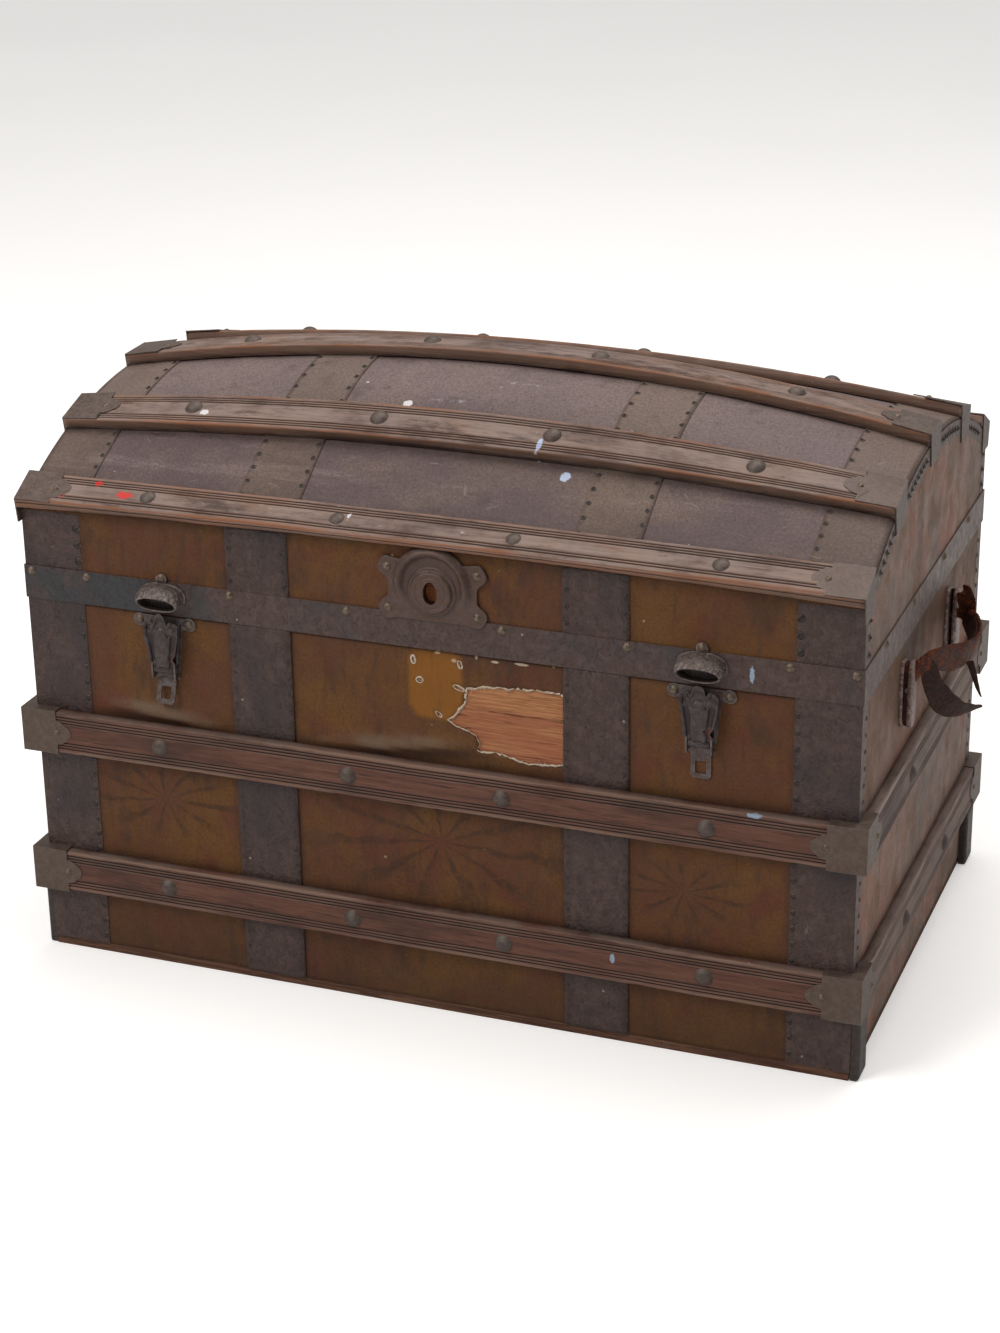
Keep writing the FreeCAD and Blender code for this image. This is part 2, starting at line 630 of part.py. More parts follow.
def roof_rivets():
    rivets = []
    for x in ROOF_RIVETS:
        middle, out = edge_slat_top(x)
        rivets += four_corners(placed(RIVET, middle, out))
        for y in ROOF_SLATS:
            foot, _, out = roof_frame(x, y)
            rivets += both_x(placed(RIVET, foot + out * SLAT_THICK, out))
    return compound(rivets)


def roof_clamp_nails():
    nails = []
    x = HALF_L + SLAT_LIFT - CLAMP_LEG
    skin = CLAMP_EASE + CLAMP_SHEET
    middle, out = edge_slat_top(x)
    nails += four_corners(placed(CLAMP_NAIL, middle + out * skin, out))
    for y in ROOF_SLATS:
        foot, _, out = roof_frame(x, y)
        nails += both_x(placed(CLAMP_NAIL, foot + out * (SLAT_THICK + skin), out))
    return nails


def band_rivets():
    z = SEAM_Z + BAND_HEIGHT - 6
    nails = []
    for x in BAND_RIVETS:
        nails += four_corners(placed(NAIL, V(x, -HALF_D - BAND_FACE, z), V(0, -1, 0)))
    for y in END_BAND_RIVETS:
        nails += four_corners(placed(NAIL, V(HALF_L + BAND_FACE, y, z), V(1, 0, 0)))
    return compound(nails)


def latch_plate_nails():
    face = -HALF_D - GAP - LATCH_SHEET
    return [placed(NAIL, V(x + side * LATCH_EAR_X, face, SEAM_Z - 8), V(0, -1, 0))
            for x in (-LATCH_X, LATCH_X) for side in (-1, 1)]


def hood_and_lock_nails():
    foot = HALF_D + BAND_FACE + GAP
    ear_z = SEAM_Z + HOOD_EAR_Z
    nails = [placed(NAIL, V(x, -foot - HOOD_EAR, ear_z), V(0, -1, 0)) for x in (-LATCH_X, LATCH_X)]
    nails += [placed(NAIL, V(LOCK_X + x, -foot - LOCK_SHEET, z), V(0, -1, 0)) for x, z in LOCK_NAILS]
    return nails


def cap_rivets():
    x = HALF_L + GAP + CAP_SHEET
    rivets = []
    for z in (HANDLE_Z - 33, HANDLE_Z - 18, HANDLE_Z + 14):
        rivets += four_corners(placed(CLAMP_NAIL, V(x, -HANDLE_Y, z), V(1, 0, 0)))
    return rivets


# ---- assembly -------------------------------------------------------------------------------
def base_nodes():
    wall_z = BOTTOM + GAP
    top_z = SEAM_Z - GAP
    front, right = wall_pair(wall_z, top_z)
    canvas_front = box(-HALF_L, HALF_L, -HALF_D, -WOOD_D - GAP, wall_z, top_z)
    canvas_right = box(WOOD_L + GAP, HALF_L, -WOOD_D, WOOD_D, wall_z, top_z)
    reach = HALF_L + SLAT_OUT
    lower, upper = SLAT_BOTTOMS
    room_l, room_d = INNER_L - GAP, INNER_D - GAP
    paper_l, paper_d = room_l - LINING, room_d - LINING
    lining = box(-room_l, room_l, -room_d, room_d, wall_z, top_z)
    lining = lining.cut(box(-paper_l, paper_l, -paper_d, paper_d, wall_z + LINING, ROOF_Z))
    cleat_face = INNER_L - 2 * GAP - LINING
    cleat = box(cleat_face - CLEAT, cleat_face, -INNER_D + 12, INNER_D - 12, CLEAT_Z, CLEAT_Z + 18)
    nodes = {
        "bottom_board": box(-HALF_L, HALF_L, -HALF_D, HALF_D, 0, BOTTOM),
        "front_board": front,
        "back_board": mirror_y(front),
        "right_end_board": right,
        "left_end_board": mirror_x(right),
        "front_canvas": canvas_front,
        "back_canvas": mirror_y(canvas_front),
        "right_end_canvas": canvas_right,
        "left_end_canvas": mirror_x(canvas_right),
        "base_lining": lining,
        "tray_cleats": compound(both_x(cleat)),
        "base_corner_bindings": compound(four_corners(corner_binding(wall_z, top_z))),
        "base_middle_strips": compound(four_corners(middle_strip(wall_z, top_z))),
        "front_lower_slat": long_slat(lower, reach),
        "front_upper_slat": long_slat(upper, reach),
        "back_lower_slat": mirror_y(long_slat(lower, reach)),
        "back_upper_slat": mirror_y(long_slat(upper, reach)),
        "right_end_slats": compound([end_slat(z, HALF_D + SLAT_LIFT - GAP) for z in SLAT_BOTTOMS]),
        "left_end_slats": compound([mirror_x(end_slat(z, HALF_D + SLAT_LIFT - GAP)) for z in SLAT_BOTTOMS]),
        "base_slat_clamps": compound([c for z in SLAT_BOTTOMS for c in four_corners(base_clamp(z))]),
        "base_hardware_nails": compound(base_clamp_nails() + latch_plate_nails() + cap_rivets()),
        "base_slat_rivets": base_rivets(),
        "corner_shoes": compound(four_corners(corner_shoe())),
        "base_tacks": base_tacks(),
        "latch_plates": compound([at_front(latch_plate(LEFT_EYE_BENT), -LATCH_X),
                                  at_front(latch_plate(0.0), LATCH_X)]),
        "handle_caps": compound(four_corners(handle_cap())),
        "hinge_base_leaves": compound([hinge_leaf(False).translated(V(x, 0, 0)) for x in HINGE_PLACES]),
        "pivot_pins": compound(four_corners(handle_pin())
                               + [at_front(latch_pin(), x) for x in (-LATCH_X, LATCH_X)]
                               + [hinge_pin().translated(V(x, 0, 0)) for x in HINGE_PLACES]),
    }
    return nodes


def lid_end_board():
    """Arched end board of the lid, at the right end."""
    side = INNER_D - GAP
    under = STAVE_UNDER - ROOF_GAP
    steps = [side * k / 8 for k in range(-8, 9)]
    arc = [roof_point(HALF_L, y, under) for y in steps]
    curve = Part.BSplineCurve()
    curve.interpolate([V(INNER_L, p.y, p.z) for p in arc])
    left = V(INNER_L, arc[0].y, SEAM_Z + GAP)
    right = V(INNER_L, arc[-1].y, SEAM_Z + GAP)
    edges = [curve.toShape(), Part.makeLine(V(INNER_L, arc[-1].y, arc[-1].z), right),
             Part.makeLine(right, left), Part.makeLine(left, V(INNER_L, arc[0].y, arc[0].z))]
    return Part.Face(Part.Wire(edges)).extrude(V(BOARD, 0, 0))


def end_arch(x0, thick, low_lift, high_lift):
    """Plate on the lid's right end under the roof's arc."""
    steps = [(HALF_D - 1.0) * k / 8 for k in range(-8, 9)]
    arc = [roof_point(HALF_L, y, high_lift) for y in steps]
    curve = Part.BSplineCurve()
    curve.interpolate([V(x0, p.y, p.z) for p in arc])
    first = V(x0, arc[0].y, arc[0].z)
    last = V(x0, arc[-1].y, arc[-1].z)
    if low_lift is None:
        a = V(x0, first.y, SEAM_Z + GAP)
        b = V(x0, last.y, SEAM_Z + GAP)
        edges = [curve.toShape(), Part.makeLine(last, b), Part.makeLine(b, a), Part.makeLine(a, first)]
    else:
        inner = Part.BSplineCurve()
        low = [roof_point(HALF_L, y * 0.985, low_lift) for y in steps]
        inner.interpolate([V(x0, p.y, p.z) for p in low])
        a = V(x0, low[0].y, low[0].z)
        b = V(x0, low[-1].y, low[-1].z)
        edges = [curve.toShape(), Part.makeLine(last, b), inner.toShape(), Part.makeLine(a, first)]
        edges = Part.__sortEdges__(edges)
    return Part.Face(Part.Wire(edges)).extrude(V(thick, 0, 0))


def roof_staves():
    """Thin boards whose joints lie under the slats."""
    joints = [-WOOD_D + 3] + list(ROOF_SLATS) + [WOOD_D - 3]
    return [roof_sheet(-WOOD_L, WOOD_L, a + GAP, b - GAP, STAVE_UNDER, STAVE_TOP)
            for a, b in zip(joints[:-1], joints[1:])]


def lid_band():
    z0 = SEAM_Z + GAP
    z1 = SEAM_Z + BAND_HEIGHT
    ring = box(-HALF_L - BAND_FACE, HALF_L + BAND_FACE, -HALF_D - BAND_FACE, HALF_D + BAND_FACE, z0, z1)
    hole = box(-HALF_L - SLAT_LIFT, HALF_L + SLAT_LIFT, -HALF_D - SLAT_LIFT, HALF_D + SLAT_LIFT, 0, ROOF_Z)
    return ring.cut(hole)


def lock_case():
    """Lock body behind the escutcheon, inside the lid's front board."""
    y0 = -INNER_D + GAP
    case = box(LOCK_X - 32, LOCK_X + 32, y0, y0 + 9, LOCK_Z - 40, LOCK_Z + 22)
    return case.makeFillet(2.0, [edge for edge in case.Edges if edge.Length < 10])


def roof_clamps():
    def edge_top(x):
        points = edge_slat_points(x)
        return points[1], points[2]

    def roof_top(y):
        def edges(x):
            foot, across, out = roof_frame(x, y)
            crest = foot + out * SLAT_THICK
            return crest - across * (SLAT_WIDTH / 2), crest + across * (SLAT_WIDTH / 2)
        return edges

    clamps = four_corners(roof_clamp(edge_top))
    for y in ROOF_SLATS:
        clamps += both_x(roof_clamp(roof_top(y)))
    return compound(clamps)


def lid_nodes():
    low = SEAM_Z + GAP
    wall_top = ROOF_Z - 7.0
    front = box(-WOOD_L, WOOD_L, -WOOD_D, -INNER_D, low, wall_top)
    canvas = box(-HALF_L, HALF_L, -HALF_D, -WOOD_D - GAP, low, ROOF_Z - 2)
    board = lid_end_board()
    end_canvas = end_arch(WOOD_L + GAP, CANVAS, None, -SHEET - ROOF_GAP)
    over = ROOF_Z + END_RISE + CROWN
    for sign in (-1, 1):
        corner = sorted((sign * WOOD_D, sign * (HALF_D + 5)))
        end_canvas = end_canvas.cut(box(0, LENGTH, corner[0], corner[1], 0, over))
    binding = corner_binding(low, ROOF_Z - 3)
    arch = end_arch(HALF_L + GAP, SHEET, -17.0, -0.5)
    inner = HALF_D - BINDING_RETURN - GAP
    arch = arch.common(box(0, LENGTH, -inner, inner, 0, over))
    edge = edge_slat()
    strips = []
    for x0, x1 in (STRIP_EDGES, (HALF_L - CORNER_STRIP, HALF_L)):
        strips += both_x(roof_sheet(x0, x1, -HALF_D + 2, HALF_D - 2, ROOF_GAP, ROOF_GAP + SHEET))
    nodes = {
        "lid_front_board": front,
        "lid_back_board": mirror_y(front),
        "lid_right_end_board": board,
        "lid_left_end_board": mirror_x(board),
        "roof_staves": compound(roof_staves()),
        "roof_cover": roof_sheet(-HALF_L, HALF_L, -HALF_D + 0.5, HALF_D - 0.5, -SHEET, 0.0),
        "lid_lining": roof_sheet(-INNER_L + GAP, INNER_L - GAP, -INNER_D + 2, INNER_D - 2,
                                 STAVE_UNDER - ROOF_GAP - LINING, STAVE_UNDER - ROOF_GAP),
        "lid_canvas": compound(both_y(canvas) + both_x(end_canvas)),
        "lid_corner_bindings": compound(four_corners(binding)),
        "lid_end_arches": compound(both_x(arch)),
        "lid_strips": compound(four_corners(middle_strip(low, ROOF_Z - 3)) + strips),
        "lid_band": lid_band(),
        "band_rivets": band_rivets(),
        "front_edge_slat": edge,
        "back_edge_slat": mirror_y(edge),
        "roof_slat_clamps": roof_clamps(),
        "roof_slat_rivets": roof_rivets(),
        "lid_tacks": lid_tacks(),
        "lock_plate": lock_plate().translated(V(LOCK_X, -HALF_D, 0)),
        "lock_case": lock_case(),
        "latch_hoods": compound([at_front(latch_hood(), x) for x in (-LATCH_X, LATCH_X)]),
        "lid_hardware_nails": compound(roof_clamp_nails() + hood_and_lock_nails()),
        "hinge_lid_leaves": compound([hinge_leaf(True).translated(V(x, 0, 0)) for x in HINGE_PLACES]),
    }
    for k, y in enumerate(ROOF_SLATS, start=1):
        nodes["roof_slat_%d" % k] = roof_slat(y)
    return nodes


def moving_nodes():
    strap = handle_strap()
    return {
        "left_latch_lever": at_front(latch_lever(), -LATCH_X),
        "right_latch_lever": at_front(latch_lever(), LATCH_X),
        "right_handle_strap": strap,
        "left_handle_strap": mirror_x(strap),
    }


def main():
    os.makedirs("parts", exist_ok=True)
    nodes = {}
    nodes.update(base_nodes())
    nodes.update(lid_nodes())
    nodes.update(moving_nodes())
    for name, shape in nodes.items():
        shape.exportStep("parts/%s.step" % name)


main()
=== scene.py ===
import math
from itertools import product

import bpy
import numpy as np
from mathutils import Matrix, Vector
from mathutils.geometry import delaunay_2d_cdt


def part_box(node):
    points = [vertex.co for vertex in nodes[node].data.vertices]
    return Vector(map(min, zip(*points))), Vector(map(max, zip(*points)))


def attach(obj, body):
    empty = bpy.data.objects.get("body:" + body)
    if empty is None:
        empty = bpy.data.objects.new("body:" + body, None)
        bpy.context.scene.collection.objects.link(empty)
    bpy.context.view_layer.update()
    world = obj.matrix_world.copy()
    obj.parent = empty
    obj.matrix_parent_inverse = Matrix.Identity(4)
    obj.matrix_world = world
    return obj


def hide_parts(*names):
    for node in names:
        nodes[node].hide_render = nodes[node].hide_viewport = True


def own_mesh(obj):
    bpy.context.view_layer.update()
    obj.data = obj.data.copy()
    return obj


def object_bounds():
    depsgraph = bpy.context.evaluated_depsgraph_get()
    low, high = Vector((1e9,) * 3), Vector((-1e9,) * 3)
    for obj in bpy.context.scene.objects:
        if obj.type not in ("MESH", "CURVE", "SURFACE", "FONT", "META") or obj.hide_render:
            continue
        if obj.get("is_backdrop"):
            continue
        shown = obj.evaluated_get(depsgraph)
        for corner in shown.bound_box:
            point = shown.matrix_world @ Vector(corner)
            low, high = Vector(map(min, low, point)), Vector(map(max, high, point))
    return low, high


# Dome-top steamer trunk. Metres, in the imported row's frame: +X along the front, -Y is the front.

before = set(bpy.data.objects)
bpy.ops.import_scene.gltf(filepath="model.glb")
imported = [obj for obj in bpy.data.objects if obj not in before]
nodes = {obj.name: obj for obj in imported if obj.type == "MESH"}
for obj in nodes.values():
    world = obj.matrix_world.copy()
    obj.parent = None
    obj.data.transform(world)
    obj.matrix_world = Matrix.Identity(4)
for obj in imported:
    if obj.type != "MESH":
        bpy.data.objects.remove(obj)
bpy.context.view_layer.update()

MM = 0.001

# ---- sizes taken from the frame ---------------------------------------------------------------
HALF_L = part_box("roof_cover")[1].x
HALF_D = -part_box("front_canvas")[0].y
SEAM_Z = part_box("lid_band")[0].z
WALL_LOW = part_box("front_canvas")[0].z
WALL_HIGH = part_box("front_canvas")[1].z
ROOF_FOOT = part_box("roof_cover")[0].z + 0.6 * MM
ROOF_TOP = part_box("roof_cover")[1].z
END_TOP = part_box("lid_end_arches")[1].z + 0.5 * MM
STRIP_OUT = -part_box("base_middle_strips")[0].y - HALF_D
STRIP_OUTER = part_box("base_middle_strips")[1].x
SLAT_LOW, SLAT_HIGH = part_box("front_lower_slat"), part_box("front_upper_slat")
SLAT_WIDTH = SLAT_HIGH[1].z - SLAT_HIGH[0].z
SLAT_THICK = SLAT_HIGH[1].y - SLAT_HIGH[0].y
SLAT_LIFT = 1 * MM          # slats lie over the strips
SLAT_STEP = 5 * MM          # from one section of a slat to the next
ROOF_SLAT_LIFT = 1.5 * MM
EDGE_INNER = 29 * MM        # from the front or back to an edge slat's inner edge
EDGE_LIP = 11.5 * MM        # height of its upright face
EDGE_SLOPE = math.radians(29)
ROOF_STATIONS = 175
ROOF_SLAT_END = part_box("roof_slat_1")[1].x
ROOF_SLAT_Y = [sum(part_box("roof_slat_%d" % k)[j].y for j in (0, 1)) / 2 for k in (1, 2, 3)]
STRIP_INNER = STRIP_OUTER - 66 * MM
CORNER_INNER = HALF_L - 63 * MM
SHEET = 0.8 * MM
TACK_LINES = (STRIP_INNER + 4 * MM, STRIP_OUTER - 4 * MM)
CROWN_FALL = 1.6


# ---- number tools ---------------------------------------------------------------------------
def lattice(i, j, k, seed):
    """Repeatable value from -1 to 1 at each lattice corner."""
    n = (i * 73856093) ^ (j * 19349663) ^ (k * 83492791) ^ (seed * 2654435761)
    n = ((n ^ (n >> 13)) * 1274126177) & 0xFFFFFFFF
    return ((n ^ (n >> 16)) & 0xFFFF) / 32767.5 - 1


def noise(points, size, seed=0):
    """Smooth value noise of an (n, 3) array, from -1 to 1, with features of the given size."""
    p = np.asarray(points, float) / size
    base = np.floor(p).astype(np.int64)
    f = p - base
    f = f * f * (3 - 2 * f)
    total = np.zeros(len(p))
    for corner in product((0, 1), repeat=3):
        weight = np.ones(len(p))
        for axis, step in enumerate(corner):
            weight = weight * (f[:, axis] if step else 1 - f[:, axis])
        i, j, k = (base + corner).T
        total += weight * lattice(i, j, k, seed)
    return total


def bell(value, centre, width):
    return np.exp(-((value - centre) / width) ** 2)


def ramp01(value, low, high):
    t = np.clip((value - low) / (high - low), 0, 1)
    return t * t * (3 - 2 * t)


def jitter(points, size, seed):
    """Three-way noise, one vector for each point."""
    return np.stack([noise(points, size, seed + k) for k in range(3)], -1)


def shade(color, share):
    return tuple(share * part for part in color)


def flat_grid(us, vs):
    """All pairs of the two lists, as two flat arrays in the order that grid_faces expects."""
    u, v = np.meshgrid(us, vs, indexing="ij")
    return u.ravel(), v.ravel()


# ---- the roof's surface -----------------------------------------------------------------------
END_RISE = END_TOP - ROOF_FOOT
CROWN = ROOF_TOP - END_TOP
ROOF_R = (HALF_D ** 2 + END_RISE ** 2) / (2 * END_RISE)


def roof_z(x, y):
    x = np.clip(x, -HALF_L, HALF_L)
    arc = np.sqrt(ROOF_R ** 2 - np.minimum(np.abs(y), HALF_D) ** 2) - (ROOF_R - END_RISE)
    crown = (1 - (x / HALF_L) ** 2) * np.maximum(0, 1 - (y / HALF_D) ** 2) ** CROWN_FALL
    return ROOF_FOOT + arc + CROWN * crown


def roof_frame(x, y):
    """Surface points and outward normals of the roof."""
    x, y = np.broadcast_arrays(np.asarray(x, float), np.asarray(y, float))
    step = 0.5 * MM
    inner = y - np.copysign(step, y)
    slope = (roof_z(x, y) - roof_z(x, inner)) / (y - inner)
    size = np.sqrt(1 + slope ** 2)
    point = np.stack([x, y, roof_z(x, y)], -1)
    normal = np.stack([np.zeros_like(x), -slope / size, 1 / size], -1)
    return point, normal


# ---- mesh tools -------------------------------------------------------------------------------
def add_mesh(name, body, verts, faces, material, replaces=(), slot=None, attributes=None, smooth=True):
    mesh = bpy.data.meshes.new(name)
    corners = [tuple(int(i) for i in face) for face in faces]
    mesh.from_pydata([tuple(v) for v in np.asarray(verts, float)], [], corners)
    mesh.validate()
    for key, values in (attributes or {}).items():
        layer = mesh.attributes.new(key, "FLOAT", "POINT")
        layer.data.foreach_set("value", np.asarray(values, np.float32))
    mesh.polygons.foreach_set("use_smooth", [smooth] * len(mesh.polygons))
    obj = bpy.data.objects.new(name, mesh)
    bpy.context.scene.collection.objects.link(obj)
    mesh.materials.append(material)
    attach(obj, body)
    if replaces:
        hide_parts(*replaces)
    return obj


def add_sheet(*details, thickness=0.72 * MM, offset=-1.0, **more):
    """A mesh of one layer with a thickness, which lies on its inner side unless the offset is 1."""
    obj = add_mesh(*details, **more)
    modify(obj, "SOLIDIFY", thickness=thickness, offset=offset)


def modify(obj, kind, **settings):
    modifier = obj.modifiers.new(kind.lower(), kind)
    for key, value in settings.items():
        setattr(modifier, key, value)
    return modifier


def grid_faces(rows, columns, wrap=False):
    across = columns if wrap else columns - 1
    i, j = np.meshgrid(np.arange(rows - 1), np.arange(across), indexing="ij")
    k = (j + 1) % columns
    a, b = i * columns + j, i * columns + k
    return np.stack([a, b, b + columns, a + columns], -1).reshape(-1, 4)


def lofted(rings):
    """Closed bar through equal rings of points, shape (stations, points, 3), with flat ends."""
    stations, count = rings.shape[:2]
    faces = [tuple(f) for f in grid_faces(stations, count, wrap=True)]
    faces.append(tuple(range(count))[::-1])
    faces.append(tuple(range((stations - 1) * count, stations * count)))
    return rings.reshape(-1, 3), faces


def joined(parts):
    """One vertex list and face list from several (verts, faces) pairs."""
    verts, faces, start = [], [], 0
    for part_verts, part_faces in parts:
        verts.append(np.asarray(part_verts, float))
        faces += [tuple(int(i) + start for i in f) for f in part_faces]
        start += len(part_verts)
    return np.concatenate(verts), faces


# ---- shader tools -------------------------------------------------------------------------------
class Paint:
    """Builds one procedural material. Positions are object coordinates, so they follow the frame."""

    def __init__(self, name):
        self.material = bpy.data.materials.new(name)
        self.material.use_nodes = True
        self.tree = self.material.node_tree
        self.shader = self.tree.nodes["Principled BSDF"]
        self.coords = self.tree.nodes.new("ShaderNodeTexCoord")
        self.color = None

    def feed(self, socket, value):
        if isinstance(value, bpy.types.NodeSocket):
            self.tree.links.new(value, socket)
        elif hasattr(socket.default_value, "__len__") and not hasattr(value, "__len__"):
            socket.default_value = [value] * 3 + [1.0] * (len(socket.default_value) - 3)
        elif hasattr(value, "__len__") and len(socket.default_value) == 4:
            socket.default_value = (*value, 1.0)[:4]
        else:
            socket.default_value = value

    def node(self, kind, **settings):
        made = self.tree.nodes.new(kind)
        for key, value in settings.items():
            setattr(made, key, value)
        return made

    def place(self, stretch=(1, 1, 1), shift=0.0):
        mapping = self.node("ShaderNodeMapping")
        self.tree.links.new(self.coords.outputs["Object"], mapping.inputs["Vector"])
        mapping.inputs["Scale"].default_value = stretch
        mapping.inputs["Location"].default_value = (shift, shift * 0.7, shift * 1.3)
        return mapping.outputs["Vector"]

    def noise(self, size, detail=4.0, rough=0.55, stretch=(1, 1, 1), shift=0.0, twist=0.0):
        made = self.node("ShaderNodeTexNoise")
        self.tree.links.new(self.place(stretch, shift), made.inputs["Vector"])
        made.inputs["Scale"].default_value = 1 / size
        made.inputs["Detail"].default_value = detail
        made.inputs["Roughness"].default_value = rough
        made.inputs["Distortion"].default_value = twist
        return made.outputs["Fac"]

    def cells(self, size, stretch=(1, 1, 1), shift=0.0, feature="F1"):
        made = self.node("ShaderNodeTexVoronoi", feature=feature)
        self.tree.links.new(self.place(stretch, shift), made.inputs["Vector"])
        made.inputs["Scale"].default_value = 1 / size
        return made.outputs["Distance"], (made.outputs["Color"] if feature == "F1" else None)

    def calc(self, operation, a, b=0.0, clamp=False):
        made = self.node("ShaderNodeMath", operation=operation, use_clamp=clamp)
        self.feed(made.inputs[0], a)
        self.feed(made.inputs[1], b)
        return made.outputs[0]

    def times(self, a, b):
        return self.calc("MULTIPLY", a, b)

    def between(self, value, low, high, out_low=0.0, out_high=1.0):
        made = self.node("ShaderNodeMapRange", interpolation_type="SMOOTHSTEP")
        for socket, item in zip(made.inputs, (value, low, high, out_low, out_high)):
            self.feed(socket, item)
        return made.outputs[0]

    def mix(self, share, a, b):
        made = self.node("ShaderNodeMix", data_type="RGBA")
        self.feed(made.inputs[0], share)
        self.feed(made.inputs[6], a)
        self.feed(made.inputs[7], b)
        return made.outputs[2]

    def lay(self, share, tint):
        """Covers the colour so far with a tint, as far as share says."""
        self.color = self.mix(share, self.color, tint)

    def cover(self, value, low, high, tint, most=1.0):
        """Lays a tint where a value lies past a soft threshold, up to a greatest share."""
        self.lay(self.between(value, low, high, 0.0, most), tint)

    def flecks(self, cell, radius, share, shift, strength, tint):
        self.lay(self.times(self.specks(cell, radius, share, shift), strength), tint)

    def daubs(self, spots):
        for centre, half, tint in spots:
            daub(self, centre, half, tint)

    def axis(self, name, source="Object"):
        split = self.node("ShaderNodeSeparateXYZ")
        self.tree.links.new(self.coords.outputs[source], split.inputs[0])
        return split.outputs[name]

    def attribute(self, name):
        return self.node("ShaderNodeAttribute", attribute_name=name).outputs["Fac"]

    def specks(self, cell, radius, share, shift):
        """Round spots: a share of cells of the given size each holds one spot."""
        distance, color = self.cells(cell, shift=shift)
        split = self.node("ShaderNodeSeparateColor")
        self.tree.links.new(color, split.inputs[0])
        ragged = self.calc("ADD", distance, self.times(self.noise(radius, 2, 0.6, shift=shift), 0.12))
        own = self.between(split.outputs[1], 0.0, 1.0, radius / cell * 0.5, radius / cell * 1.6)
        spot = self.calc("LESS_THAN", ragged, self.calc("ADD", own, 0.06))
        return self.times(spot, self.calc("LESS_THAN", split.outputs[0], share))

    def worn_edges(self, radius):
        """High where the surface turns sharply, from the difference of bevelled and true normals."""
        bevel = self.node("ShaderNodeBevel", samples=4)
        bevel.inputs["Radius"].default_value = radius
        flat = self.node("ShaderNodeNewGeometry").outputs["Normal"]
        dot = self.node("ShaderNodeVectorMath", operation="DOT_PRODUCT")
        self.tree.links.new(bevel.outputs[0], dot.inputs[0])
        self.tree.links.new(flat, dot.inputs[1])
        return self.calc("MULTIPLY", self.calc("SUBTRACT", 1.0, dot.outputs["Value"]), 4.0, clamp=True)

    def bumped(self, *layers):
        """layers are (height, depth in metres); returns the last normal."""
        normal = None
        for height, depth in layers:
            made = self.node("ShaderNodeBump")
            made.inputs["Strength"].default_value = 1.0
            made.inputs["Distance"].default_value = depth
            self.feed(made.inputs["Height"], height)
            if normal is not None:
                self.tree.links.new(normal, made.inputs["Normal"])
            normal = made.outputs["Normal"]
        return normal

    def done(self, rough, layers=(), metal=0.0, specular=0.5):
        inputs = self.shader.inputs
        self.feed(inputs["Base Color"], self.color)
        self.feed(inputs["Roughness"], rough)
        self.feed(inputs["Metallic"], metal)
        inputs["Specular IOR Level"].default_value = specular
        if layers:
            self.tree.links.new(self.bumped(*layers), inputs["Normal"])
        return self.material


# ---- materials ----------------------------------------------------------------------------------
def dust_share(paint, strength):
    """Dust and fading on faces that look up, broken up by noise."""
    up = paint.between(paint.axis("Z", "Normal"), 0.25, 0.9)
    patchy = paint.between(paint.noise(0.05, 6, 0.65), 0.3, 0.62)
    return paint.times(paint.times(up, patchy), strength)


def star_rays(paint, centre_x, centre_z, reach):
    """Faint dark strokes that fan out from one spot of the front, inside a flat oval."""
    along = paint.calc("SUBTRACT", paint.axis("X"), centre_x)
    up = paint.calc("SUBTRACT", paint.axis("Z"), centre_z)
    angle = paint.calc("ARCTAN2", paint.times(up, 1.5), along)
    wobble = paint.times(paint.noise(0.05, 4, 0.6, shift=centre_x), 5.0)
    wave = paint.calc("SINE", paint.calc("ADD", paint.times(angle, 11.0), wobble))
    stroke = paint.between(wave, 0.35, 1.0)
    flat_up = paint.times(up, 2.1)
    radius = paint.calc("SQRT", paint.calc("ADD", paint.times(along, along),
                                           paint.times(flat_up, flat_up)))
    inside = paint.between(radius, reach, reach * 0.55)
    broken = paint.between(paint.noise(0.012, 6, 0.75, shift=8.0), 0.34, 0.58)
    return paint.times(paint.times(stroke, inside), broken)


def daub(paint, centre, half, tint):
    """One spot of stray paint, with its place and half sizes in millimetres; a long one is broken up."""
    offset = paint.node("ShaderNodeVectorMath", operation="SUBTRACT")
    paint.tree.links.new(paint.coords.outputs["Object"], offset.inputs[0])
    offset.inputs[1].default_value = shade(centre, MM)
    scaled = paint.node("ShaderNodeVectorMath", operation="DIVIDE")
    paint.tree.links.new(offset.outputs[0], scaled.inputs[0])
    scaled.inputs[1].default_value = shade(half, MM)
    length = paint.node("ShaderNodeVectorMath", operation="LENGTH")
    paint.tree.links.new(scaled.outputs[0], length.inputs[0])
    outline = paint.noise(min(half) * 0.9 * MM, 3, 0.7, shift=centre[0] * 0.01)
    ragged = paint.calc("ADD", length.outputs["Value"], outline)
    if max(half) > 20:
        broken = paint.between(paint.noise(0.006, 4, 0.8, shift=centre[1] * 0.01), 0.5, 0.6)
        paint.lay(paint.times(paint.between(ragged, 1.7, 0.9), broken), tint)
    else:
        paint.cover(ragged, 1.55, 1.35, tint, 0.9)


def canvas_weave(paint):
    pitch = 2 * math.pi / 0.0011
    threads_up = paint.calc("SINE", paint.times(paint.axis("Z"), pitch))
    along = paint.calc("ADD", paint.axis("X"), paint.axis("Y"))
    return paint.times(threads_up, paint.calc("SINE", paint.times(along, pitch)))


